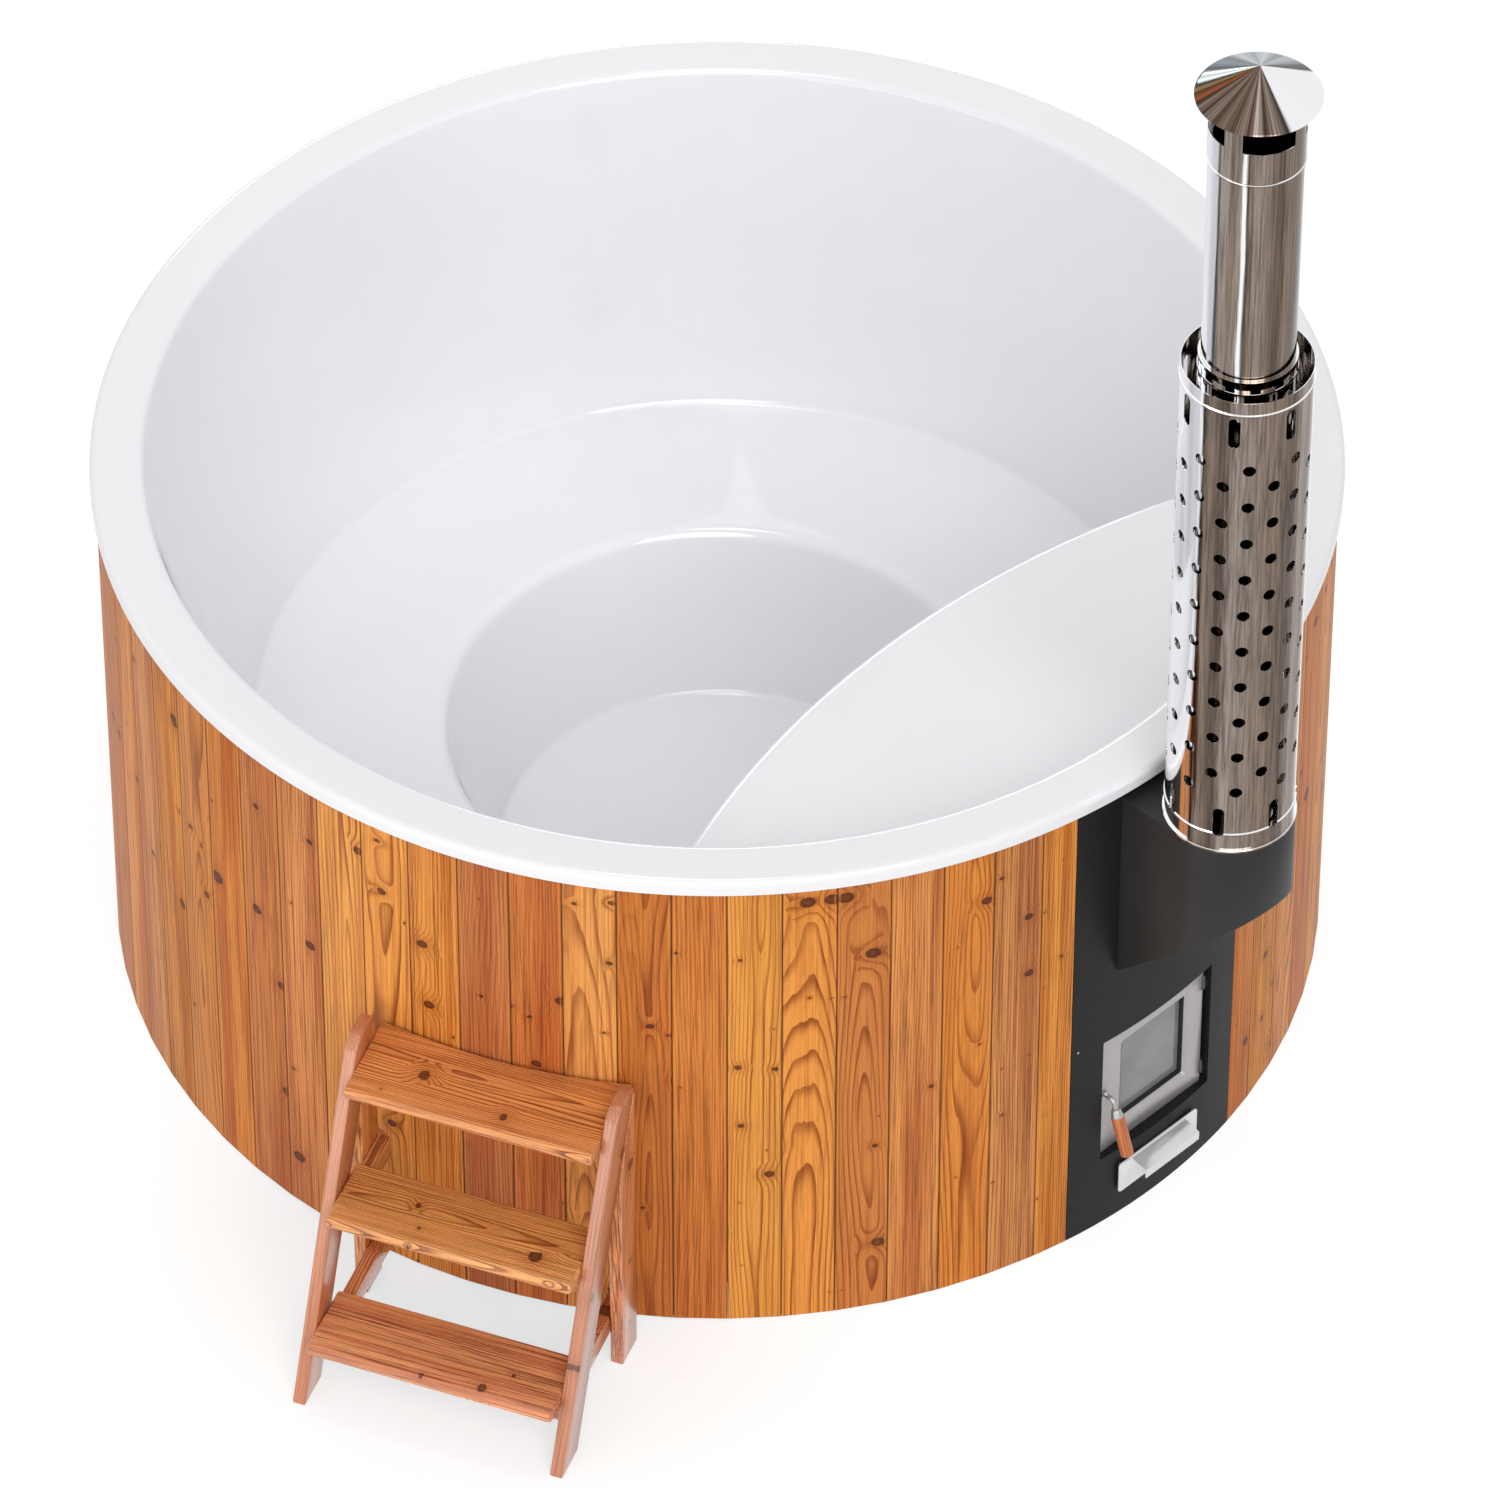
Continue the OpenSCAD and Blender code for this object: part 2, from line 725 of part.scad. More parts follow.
// Heights of the fixed knuckles; each door knuckle stands on top of its fixed one
knuckle_zs = [door_z + 16, door_z + door_h - 16 - 2 * knuckle_l];

module jamb_hinge_knuckles() {
    color(steel) for (z = knuckle_zs) difference() {
        union() {
            translate([hinge_x, -hinge_face, z]) cylinder(r = knuckle_r, h = knuckle_l);
            block([hinge_x, -hinge_face - 3, z], [door_open_w / 2, -hinge_face + 3, z + knuckle_l]);
        }
        translate([hinge_x, -hinge_face, z - eps]) cylinder(r = hinge_pin_d / 2, h = knuckle_l + 2 * eps);
    }
}

module hinge_pins() {
    color(steel) for (z = knuckle_zs)
        translate([hinge_x, -hinge_face, z]) cylinder(r = hinge_pin_d / 2, h = 2 * knuckle_l);
}

// ---- Stove door ----

module door_hinge_knuckles() {
    color(steel) for (z = knuckle_zs) difference() {
        union() {
            translate([hinge_x, -hinge_face, z + knuckle_l + fit]) cylinder(r = knuckle_r, h = knuckle_l - fit);
            block([hinge_x - pocket + 0.05, -hinge_face - 2, z + knuckle_l + fit],
                [hinge_x, -hinge_face + 2, z + 2 * knuckle_l]);
        }
        translate([hinge_x, -hinge_face, z]) cylinder(r = hinge_pin_d / 2 + run, h = 3 * knuckle_l);
    }
}

module door_frame() {
    window_mid = window_z + window_h / 2;
    color(steel) difference() {
        translate([0, 0, door_mid_z]) round_plate(door_w, door_h, 3, door_back, door_face);
        translate([window_shift, 0, window_mid])
            round_plate(window_w, window_h, window_round, door_back - eps, door_face + eps);
        translate([window_shift, 0, window_mid]) hull() {
            round_plate(window_w, window_h, window_round,
                door_face - window_bevel, door_face - window_bevel + 0.01, $fn = 32);
            round_plate(window_w + 2 * window_bevel + 2 * eps, window_h + 2 * window_bevel + 2 * eps,
                window_round + window_bevel + eps, door_face + eps, door_face + eps + 0.01, $fn = 32);
        }
        translate([window_shift, 0, window_mid])
            round_plate(window_w + 2 * rebate, window_h + 2 * rebate, 3, door_back - eps, door_back + rebate_t);
        translate([spindle_x, 0, spindle_z]) rod_y(rod_d / 2 + run, door_back - eps, door_face + eps);
        for (z = knuckle_zs) block([hinge_x - pocket, -door_face - eps, z - fit],
            [door_w / 2 + eps, -hinge_face + pocket, z + 2 * knuckle_l + fit]);
    }
}

module door_glass() {
    window_mid = window_z + window_h / 2;
    near = door_back + rebate_t - 1.5;
    color([0.35, 0.38, 0.42, 0.6]) translate([window_shift, 0, window_mid])
        round_plate(window_w + 2 * rebate - 2, window_h + 2 * rebate - 2, 2, near - glass_t, near);
}

// Black seal between the glass and the frame, with a lip that lines the window up to its bevel
module glass_seal() {
    window_mid = window_z + window_h / 2;
    near = door_back + rebate_t - 1.5;
    color(iron) translate([window_shift, 0, window_mid]) difference() {
        union() {
            round_plate(window_w + 2 * rebate - 2, window_h + 2 * rebate - 2, 2, near, near + 1.5);
            round_plate(window_w - 2 * fit, window_h - 2 * fit, window_round, near, door_face - window_bevel - 0.5);
        }
        round_plate(window_w - 4, window_h - 4, window_round, near - eps, door_face);
    }
}

// Flat ring that holds the glass in the frame's rebate from behind
module glass_retainer() {
    window_mid = window_z + window_h / 2;
    far = door_back + rebate_t - 1.5 - glass_t;
    color(steel) translate([window_shift, 0, window_mid]) difference() {
        round_plate(window_w + 2 * rebate - 1, window_h + 2 * rebate - 1, 2, door_back, far);
        round_plate(window_w - 6, window_h - 6, 5, door_back - eps, far + eps);
    }
}

module door_seal() {
    w = door_w - 2 * seal_in;
    h = door_h - 2 * seal_in;
    color(rope) translate([0, 0, door_mid_z]) difference() {
        round_plate(w, h, 12, plate_face + fit, door_back);
        round_plate(w - 2 * seal_w, h - 2 * seal_w, 4, plate_face, door_back + eps);
    }
}

// ---- Door handle ----

// Places children at the lower end of the rod's bend, +Z along the rod's way on
module at_rod_end() {
    out = door_face + rod_out;
    turn = 90 - grip_tilt;
    translate([spindle_x, -out - rod_bend_r * sin(turn), spindle_z - rod_bend_r + rod_bend_r * cos(turn)])
        rotate([180 - grip_tilt, 0, 0]) children();
}

module handle_rod() {
    color(steel) {
        translate([spindle_x, 0, spindle_z]) {
            rod_y(rod_d / 2, door_back - seal_gap + 1, door_face + rod_out);
            rod_y(rod_d / 2 + 2, door_face + 0.2, door_face + 2);
        }
        translate([spindle_x, -door_face - rod_out, spindle_z - rod_bend_r]) rotate([180, -90, 0])
            rotate_extrude(angle = 90 - grip_tilt) translate([rod_bend_r, 0]) circle(r = rod_d / 2);
        at_rod_end() cylinder(r = rod_d / 2 + 0.4, h = rod_tail);
    }
}

module handle_ferrule() {
    color(steel) at_rod_end() translate([0, 0, rod_tail])
        cylinder(r1 = rod_d / 2 + 3, r2 = grip_d / 2 - 0.5, h = ferrule_l, $fn = 64);
}

module handle_grip() {
    r = grip_d / 2;
    round_r = 3;
    end = corner_arc([0, grip_l], [r, grip_l], [r, 0], round_r, arc_steps);
    color(dark_wood) at_rod_end() translate([0, 0, rod_tail + ferrule_l]) rotate_extrude($fn = 64)
        polygon(concat([[0, 0], [r - 1, 0], [r, 1.5]], [for (i = [arc_steps : -1 : 0]) end[i]], [[0, grip_l]]));
}

// Shown released: a quarter turn of the handle brings it behind the keeper
module latch_tongue() {
    far = door_back - 1.5;
    tongue_t = 3.5;
    half = 6;
    swing = door_open_w / 2 - keeper_t + spindle_x - 1;
    color(steel) difference() {
        union() {
            translate([spindle_x, 0, spindle_z]) rod_y(half, far - tongue_t, far);
            block([spindle_x - half, -far, spindle_z],
                [spindle_x + half, -far + tongue_t, spindle_z + sqrt(pow(swing, 2) - pow(half, 2))]);
        }
        translate([spindle_x, 0, spindle_z]) rod_y(rod_d / 2, far - 10, far + 10);
    }
}

// ---- Ash drawer ----

module ash_tray() {
    color(steel) difference() {
        block([-tray_w / 2, -front_back, tray_z], [tray_w / 2, -front_back + tray_l, tray_z + tray_h]);
        block([-tray_w / 2 + tray_t, -front_back + tray_t, tray_z + tray_t],
            [tray_w / 2 - tray_t, -front_back + tray_l - tray_t, tray_z + tray_h + eps]);
    }
}

module ash_drawer_front() {
    lip_root = drawer_z + drawer_h - 4;
    lip_t = front_t;
    drop = 7;
    flange = 17;
    front = front_back + front_t;
    color(steel) {
        translate([0, 0, drawer_z + drawer_h / 2]) round_plate(drawer_w, drawer_h, 7, front_back, front);
        translate([-lip_w / 2, 0, 0]) rotate([90, 0, 90]) linear_extrude(lip_w) polygon([
            [-front + 0.2, lip_root], [-front - 3, lip_root], [-front - lip_out, lip_root - drop],
            [-front - lip_out, lip_root - drop - flange], [-front - lip_out + lip_t, lip_root - drop - flange],
            [-front - lip_out + lip_t, lip_root - drop - lip_t], [-front - 3, lip_root - lip_t],
            [-front + 0.2, lip_root - lip_t],
        ]);
    }
}

// ---- Stove ----

module stove_front_plate() {
    opening_w = door_w - 2 * seal_in - 2 * seal_w - 7;
    opening_h = door_h - 2 * seal_in - 2 * seal_w - 8;
    color(iron) difference() {
        block([-stove_w / 2, -plate_face, stove_foot_h], [stove_w / 2, -stove_front, stove_top]);
        translate([0, 0, door_mid_z]) round_plate(opening_w, opening_h, 10, stove_front - eps, plate_face + eps);
        block([-ash_w / 2, -plate_face - eps, ash_z], [ash_w / 2, -stove_front + eps, ash_top]);
        translate([0, 0, flue_outlet_z]) rod_y(flue_r + fit, stove_front - eps, plate_face + eps);
    }
}

module stove_jacket() {
    color(steel) difference() {
        block([-stove_w / 2, -stove_front, stove_foot_h], [stove_w / 2, -stove_back, stove_top]);
        block([-stove_w / 2 + jacket_t, -stove_front - eps, stove_foot_h + jacket_t],
            [stove_w / 2 - jacket_t, -stove_back - jacket_t, stove_top - jacket_t]);
        for (z = [port_hi_z, port_lo_z])
            translate([0, 0, z]) rod_y(port_r - 3, stove_back - eps, stove_back + 10);
    }
}

module firebox_liner() {
    chamber_w = liner_w - 2 * liner_t;
    chamber_back = liner_back + liner_t;
    color(iron) difference() {
        block([-liner_w / 2, -stove_front, liner_z], [liner_w / 2, -liner_back, liner_top]);
        block([-chamber_w / 2, -stove_front - eps, hearth_z], [chamber_w / 2, -chamber_back, liner_top - liner_t]);
        block([-ash_w / 2, -stove_front - eps, ash_z], [ash_w / 2, -chamber_back, ash_top]);
        block([-grate_w / 2 + 8, -grate_mid - grate_l / 2 + 8, ash_top - eps],
            [grate_w / 2 - 8, -grate_mid + grate_l / 2 - 8, hearth_z + eps]);
    }
}

module fire_grate() {
    slots = 8;
    pitch = (grate_l - 24) / slots;
    color(iron) difference() {
        block([-grate_w / 2, -grate_mid - grate_l / 2, hearth_z],
            [grate_w / 2, -grate_mid + grate_l / 2, hearth_z + 12]);
        for (i = [0 : slots - 1]) {
            y = -grate_mid - grate_l / 2 + 12 + pitch * (i + 0.5);
            block([-grate_w / 2 + 12, y - pitch * 0.3, hearth_z - eps],
                [grate_w / 2 - 12, y + pitch * 0.3, hearth_z + 13]);
        }
    }
}

// Plate that sends the smoke to the back of the firebox before it leaves
module smoke_baffle() {
    baffle_z = flue_outlet_z - flue_r - 25;
    color(iron) block([-liner_w / 2 + liner_t, -stove_front + 5, baffle_z],
        [liner_w / 2 - liner_t, -liner_back - liner_t - 75, baffle_z + 6]);
}

module stove_feet() {
    color(iron) for (x = [-1, 1], y = [stove_front - 35, stove_back + 70])
        translate([x * (stove_w / 2 - 30), -y, 0]) {
            cylinder(r = 22, h = 6);
            cylinder(r = 9, h = stove_foot_h);
        }
}

// Water pipe from the jacket to a flange on the tub's side of the bulkhead
module water_port(z) {
    color(steel) translate([0, 0, z]) difference() {
        union() {
            rod_y(port_r, bulkhead - 6, stove_back);
            rod_y(flange_r, bulkhead - 6, bulkhead - 0.2);
        }
        rod_y(port_r - 3, bulkhead - 20, stove_back + eps);
    }
}

module water_port_upper() { water_port(port_hi_z); }
module water_port_lower() { water_port(port_lo_z); }

module port_grilles() {
    color(steel) for (z = [port_hi_z, port_lo_z]) translate([0, 0, z]) difference() {
        rod_y(flange_r - 5, bulkhead - 9, bulkhead - 6);
        for (i = [-2 : 2]) {
            half = sqrt(pow(port_r - 6, 2) - pow(i * 8, 2));
            block([-half, -bulkhead, i * 8 - 2], [half, -bulkhead + 20, i * 8 + 2]);
        }
    }
}

// ---- Chimney ----

// Plan of the housing, drawn in by g: straight sides and a round nose
module housing_plan(g) {
    translate([0, -flue_y]) circle(r = housing_r - g);
    translate([-housing_r + g, -flue_y]) square([2 * (housing_r - g), flue_out + 40]);
}

// Space above a plane that rises at 45 degrees away from the tub, through z at the panel
module above_slope(z) {
    reach = 2 * housing_w;
    lead = 60;
    rotate([90, 0, 90]) translate([0, 0, -housing_w]) linear_extrude(2 * housing_w) polygon([
        [-stave_r + lead, z - lead], [-stave_r + lead, tub_h * 2],
        [-stave_r - reach, tub_h * 2], [-stave_r - reach, z + reach],
    ]);
}

module chimney_housing() {
    color(black_steel) difference() {
        intersection() {
            translate([0, 0, housing_foot_z - 60]) linear_extrude(housing_top - housing_foot_z + 60) housing_plan(0);
            above_slope(housing_foot_z);
        }
        intersection() {
            translate([0, 0, housing_foot_z - 80]) linear_extrude(housing_top - sheet_t - housing_foot_z + 80)
                housing_plan(sheet_t);
            above_slope(housing_foot_z + sheet_t * sqrt(2));
        }
        translate([0, 0, housing_foot_z - 90]) cylinder(r = stave_r + 0.1, h = tub_h, $fn = 180);
        at_flue() translate([0, 0, housing_top - 10]) cylinder(r = flue_r + 2.5, h = 20);
    }
}

// Pipe bend from the stove's flue hole to the upright flue, with a spigot that the flue slips over
module flue_elbow() {
    inner = flue_r - flue_t;
    spigot_r = inner - 0.2;
    bore_r = spigot_r - flue_t;
    color(steel) {
        translate([0, 0, flue_outlet_z]) difference() {
            rod_y(flue_r, stove_front, flue_y - bend_r);
            rod_y(inner, stove_front - eps, flue_y - bend_r + eps);
        }
        translate([0, -flue_y + bend_r, bend_top]) rotate([90, 90, -90]) rotate_extrude(angle = 90)
            translate([bend_r, 0]) difference() {
                circle(r = flue_r);
                circle(r = inner);
            }
        at_flue() translate([0, 0, bend_top]) rotate_extrude() polygon([
            [bore_r, 0], [flue_r, 0], [flue_r, seat_h], [spigot_r, seat_h],
            [spigot_r, seat_h + spigot_l], [bore_r, seat_h + spigot_l],
        ]);
    }
}

module flue_pipe() {
    color(polished) at_flue() tube(flue_r, flue_r - flue_t, bend_top + seat_h, flue_end);
}

module sleeve_base_ring() {
    color(polished) at_flue() {
        tube(sleeve_r + 3.5, flue_r + 2.5, housing_top, sleeve_z);
        tube(sleeve_r - sleeve_t - 0.2, sleeve_r - sleeve_t - 3, sleeve_z, sleeve_z + 16);
    }
}

// Cutter through one wall of the sleeve at an angle from the stove's side
module sleeve_cut(phi, z, r) {
    rotate([0, 0, phi]) translate([0, 0, z]) rod_y(r, sleeve_r - 12, sleeve_r + 12, $fn = 32);
}

module chimney_sleeve() {
    vent_rows = floor((first_vent - low_slot_z - slot_l / 2 - vent_d / 2 - 8) / vent_pitch) + 1;
    color(polished) at_flue() difference() {
        union() {
            tube(sleeve_r, sleeve_r - sleeve_t, sleeve_z, sleeve_top);
            for (z = [low_bead, top_bead]) tube(sleeve_r + 2, sleeve_r - sleeve_t, z - bead_r, z + bead_r);
        }
        for (c = [0 : vent_columns - 1], i = [0 : vent_rows - 1 - c % 2])
            sleeve_cut(c * 360 / vent_columns + vent_phase, first_vent - (i + (c % 2) / 2) * vent_pitch, vent_d / 2);
        for (s = [0 : slot_count - 1], z = [top_slot_z, low_slot_z]) {
            phi = slot_phase + s * 360 / slot_count;
            sleeve_cut(phi, z + (slot_l - slot_d) / 2, slot_d / 2);
            sleeve_cut(phi, z - (slot_l - slot_d) / 2, slot_d / 2);
            rotate([0, 0, phi]) block([-slot_d / 2, -sleeve_r - 12, z - (slot_l - slot_d) / 2],
                [slot_d / 2, -sleeve_r + 12, z + (slot_l - slot_d) / 2]);
        }
    }
}

// Slotted ring that keeps the sleeve's top open round the flue and centred on it
module flue_vent_collar() {
    windows = 12;
    win_w = 24;
    bead_z = vent_collar_z + 44;
    rows = [[bead_z + 2.5, bead_z + 22], [bead_z - 26, bead_z - 4]];
    color(polished) at_flue() {
        difference() {
            union() {
                tube(collar_r, flue_r + 0.2, vent_collar_z, vent_collar_z + vent_collar_h);
                tube(collar_r + 1.2, flue_r + 1, bead_z - 2, bead_z + 2);
            }
            for (i = [0 : windows - 1], row = rows) rotate([0, 0, i * 360 / windows + 7])
                block([-win_w / 2, -collar_r - 5, row[0]], [win_w / 2, -flue_r + 4, row[1]]);
        }
        for (i = [0 : 2]) rotate([0, 0, i * 120 + 105])
            block([-8, -sleeve_r + sleeve_t + 0.6, vent_collar_z + 2], [8, -collar_r + 0.5, vent_collar_z + 5]);
    }
}

module cap_collar() {
    window_h = 44;
    window_deg = 66;
    window_phase = -32;
    foot = cap_z + cap_l - 12 - window_h;
    outer = cap_r;
    top = cone_z + (cone_r - outer) * cone_h / cone_r - 2.2;
    color(polished) at_flue() difference() {
        union() {
            tube(outer, outer - cap_t, cap_z, top);
            tube(outer + 1.4, outer - cap_t, cap_z, cap_z + 5);
            tube(outer - 0.5, flue_r - 6, flue_end + 0.2, flue_end + 3);
        }
        for (i = [0 : 3]) rotate([0, 0, window_phase + i * 90]) translate([0, 0, foot])
            linear_extrude(window_h) polygon([
            [0, 0], [-2 * outer * tan(window_deg / 2), -2 * outer], [2 * outer * tan(window_deg / 2), -2 * outer],
        ]);
    }
}

module cap_cone() {
    wall = 1.8;
    color(polished) at_flue() rotate_extrude()
        polygon([[0, cone_z + cone_h], [cone_r, cone_z], [cone_r, cone_z - wall], [cone_r - 2, cone_z - wall],
            [cone_r - 3, cone_z - 0.2], [0, cone_z + cone_h - wall]]);
}

// ---- Ladder ----

// Extrudes a section in the ladder's [away from the tub, up] plane between two places along the treads
module along_treads(y0, y1) {
    translate([0, y1, 0]) rotate([90, 0, 0]) linear_extrude(y1 - y0) children();
}

module stringer(y0) {
    front_top = [stringer_front(ladder_h), ladder_h];
    back_top = [ladder_back, ladder_h];
    back_foot = [ladder_foot - stringer_l, 0];
    front_arc = corner_arc([ladder_foot, 0], front_top, back_top, 36, arc_steps);
    back_arc = corner_arc(front_top, back_top, back_foot, 6, arc_steps);
    color(dark_wood) at_ladder() along_treads(y0, y0 + board_t)
        polygon(concat([[ladder_foot, 0]], front_arc, back_arc, [back_foot]));
}

module ladder_left_stringer() { stringer(left_side); }
module ladder_right_stringer() { stringer(right_side - board_t); }

module ladder_rear_legs() {
    leg_front = ladder_back + board_w;
    leg_top = ladder_h - 16;
    slope = tan(ladder_lean);
    back_edge = ladder_foot - stringer_l - fit;
    color(dark_wood) at_ladder() for (y = [left_side, right_side - board_t])
        along_treads(y, y + board_t) polygon([
            [ladder_back, 0], [leg_front, 0], [leg_front, (back_edge - leg_front) / slope],
            [back_edge - leg_top * slope, leg_top], [ladder_back, leg_top],
        ]);
}

// A tread from back to nose, with a round nose, its top face at z
module tread(back, nose, z) {
    r = board_t / 2 - 0.5;
    top = corner_arc([back, z], [nose, z], [nose, z - board_t], r, arc_steps);
    bottom = corner_arc([nose, z], [nose, z - board_t], [back, z - board_t], r, arc_steps);
    color(dark_wood) at_ladder() along_treads(ladder_shift - tread_w / 2, ladder_shift + tread_w / 2)
        polygon(concat([[back, z - board_t], [back, z]], top, bottom));
}

module lower_tread(i) {
    nose = stringer_front(tread_zs[i]) + nose_out;
    tread(nose - tread_l, nose, tread_zs[i]);
}

module ladder_bottom_tread() { lower_tread(0); }
module ladder_middle_tread() { lower_tread(1); }
module ladder_top_tread() { tread(ladder_back - 3, stringer_front(tread_zs[2]) + nose_out, tread_zs[2]); }

module ladder_cleats() {
    color(dark_wood) at_ladder() for (z = tread_zs, y = [left_side + board_t + fit, right_side - 2 * board_t - fit]) {
        top = z - board_t - fit;
        front = stringer_front(top) - 12;
        back = ladder_back;
        along_treads(y, y + board_t) polygon([
            [back, top - cleat_h], [front, top - cleat_h], [front, top], [back, top],
        ]);
    }
}

acrylic_shell();
staves_front_right();
staves_right();
staves_back_right();
staves_back_left();
staves_left();
staves_front_left();
upper_ring();
middle_ring();
lower_ring();
base_board();
base_joists();
drain_strainer();
drain_pipe();
drain_valve_body();
drain_valve_ball();
drain_valve_lever();
stove_panel();
panel_screw();
door_surround();
latch_keeper();
jamb_hinge_knuckles();
hinge_pins();
door_frame();
door_glass();
glass_seal();
glass_retainer();
door_seal();
door_hinge_knuckles();
handle_rod();
handle_ferrule();
handle_grip();
latch_tongue();
ash_tray();
ash_drawer_front();
stove_front_plate();
stove_jacket();
firebox_liner();
fire_grate();
smoke_baffle();
stove_feet();
water_port_upper();
water_port_lower();
port_grilles();
chimney_housing();
flue_elbow();
flue_pipe();
sleeve_base_ring();
chimney_sleeve();
flue_vent_collar();
cap_collar();
cap_cone();
ladder_left_stringer();
ladder_right_stringer();
ladder_rear_legs();
ladder_bottom_tread();
ladder_middle_tread();
ladder_top_tread();
ladder_cleats();
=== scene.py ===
"""Looks of a round wood-fired hot tub: a moulded white shell in vertical staves, an inset stove,
a perforated chimney and a step ladder. Metres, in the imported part's frame: +Z up, the stove on -Y."""
import json
import math

import bmesh
import bpy
import numpy as np
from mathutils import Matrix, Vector


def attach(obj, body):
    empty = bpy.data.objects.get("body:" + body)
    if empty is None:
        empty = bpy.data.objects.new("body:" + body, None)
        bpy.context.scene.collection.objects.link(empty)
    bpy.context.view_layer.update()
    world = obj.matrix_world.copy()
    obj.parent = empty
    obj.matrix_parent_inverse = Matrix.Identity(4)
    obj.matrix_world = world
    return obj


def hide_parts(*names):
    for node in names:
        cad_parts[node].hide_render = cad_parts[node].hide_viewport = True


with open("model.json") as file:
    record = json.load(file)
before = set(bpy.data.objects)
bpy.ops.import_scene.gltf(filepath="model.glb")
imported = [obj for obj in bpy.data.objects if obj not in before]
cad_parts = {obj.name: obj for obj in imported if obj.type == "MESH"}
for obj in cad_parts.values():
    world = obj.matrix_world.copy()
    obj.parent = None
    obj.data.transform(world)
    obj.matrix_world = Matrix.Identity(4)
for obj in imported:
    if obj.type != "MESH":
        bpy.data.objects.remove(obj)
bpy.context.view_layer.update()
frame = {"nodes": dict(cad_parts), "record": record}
SCENE = bpy.context.scene

# ---- Sizes, in metres and degrees ----

# The moulded shell: rim, leaning back, bench, ledge and footwell
RIM_R = 1.0
RIM_IN_R = 0.916
TUB_TOP = 0.980
SKIRT_Z = 0.953
SHELL_T = 0.006
BENCH_Z = 0.386
BENCH_W = 0.310
LEDGE_Z = 0.378
FLOOR_Z = 0.093
BACK_LEAN = math.radians(15.1)
FOOT_LEAN = math.radians(17)

# The flat deck over the stove, and the wall under its curved edge
DECK_Z = 0.850
DECK_ARC_R = 1.647
DECK_EDGE_R = 0.014
BULKHEAD_IN = 0.0307

# The staves, with a narrow one at each side of the stove's panel
STAVE_R = 0.9927
STAVE_T = 0.0185
STAVE_FOOT = 0.003
STAVE_TOP = 0.968
STAVE_COUNT = 67
SEAM_GAP = 0.0006
SEAM_ROUND = 0.0010
PANEL_HALF = math.degrees(0.3795 / STAVE_R) / 2
EDGE_DEG = math.degrees(0.063 / STAVE_R)
STAVE_PITCH = (360 - 2 * PANEL_HALF - 2 * EDGE_DEG) / STAVE_COUNT
STAVE_W = 2 * STAVE_R * math.sin(math.radians(STAVE_PITCH / 2)) - SEAM_GAP
DRAIN_Y = -0.189989
DRAIN_Z = 0.036
DRAIN_HOLE_R = 0.023

# The flue pipe and the perforated sleeve round it
FLUE_AXIS = (0.0, -1.117, 0.0)
FLUE_R = 0.0715
FLUE_WALL = 0.0015
FLUE_FOOT = 0.882
FLUE_TOP = 2.306
SLEEVE_R = 0.101
SLEEVE_IN_R = SLEEVE_R - 0.0012
SLEEVE_Z = 0.943
SLEEVE_TOP = 1.866
LOW_BEAD = SLEEVE_Z + 0.032
TOP_BEAD = SLEEVE_TOP - 0.025
TOP_SLOT = TOP_BEAD - 0.036
LOW_SLOT = LOW_BEAD + 0.025
SLOT_COUNT = 7
SLOT_W = 0.018
SLOT_H = 0.058
VENT_COLUMNS = 16
VENT_ROWS = 10
VENT_D = 0.020
VENT_PITCH = 0.074
FIRST_VENT = TOP_SLOT - VENT_PITCH

# The ring at the sleeve's foot, and the slotted collar inside its open top
RING_R = SLEEVE_R + 0.0035
RING_FOOT = 0.938
RING_LIP_TOP = 0.959
RING_LIP_IN_R = SLEEVE_IN_R - 0.003
COLLAR_R = FLUE_R + 0.004
COLLAR_FOOT = SLEEVE_TOP - 0.051
COLLAR_TOP = COLLAR_FOOT + 0.069
COLLAR_BEAD = COLLAR_FOOT + 0.044

# The chimney cap: a collar with windows under a cone
CAP_IN_R = FLUE_R + 0.0007
CAP_R = FLUE_R + 0.0019
CAP_FOOT = 2.266
CAP_SEAT_R = FLUE_R - 0.006
CAP_SEAT_TOP = 2.309
CAP_WINDOW_Z = 2.350
CONE_R = 0.095
CONE_FOOT = 2.384
CONE_RISE = 0.054
CONE_TOP = CONE_FOOT + CONE_RISE

# Middle of the floor's painted shade, where the ladder's shadow falls
LADDER_SPOT = (-1.12, -0.42, 0.0)


def srgb(red, green, blue):
    """A colour as it shows, 0 to 255, as the shaders want it."""
    shown = [c / 255 for c in (red, green, blue)]
    return tuple(c / 12.92 if c <= 0.04045 else ((c + 0.055) / 1.055) ** 2.4 for c in shown) + (1.0,)


# ---- Camera ----

camera_data = bpy.data.cameras.new("camera")
camera_data.sensor_width = 36
camera_data.lens = 269.8
camera_data.clip_end = 100
camera = bpy.data.objects.new("camera", camera_data)
camera.location = (-9.37175, -9.37175, 13.03010)
camera.rotation_euler = (0.8056583, -0.0007168, -0.7886845)
SCENE.collection.objects.link(camera)
SCENE.camera = camera
SCENE.view_settings.view_transform = "Standard"


# ---- Node trees ----

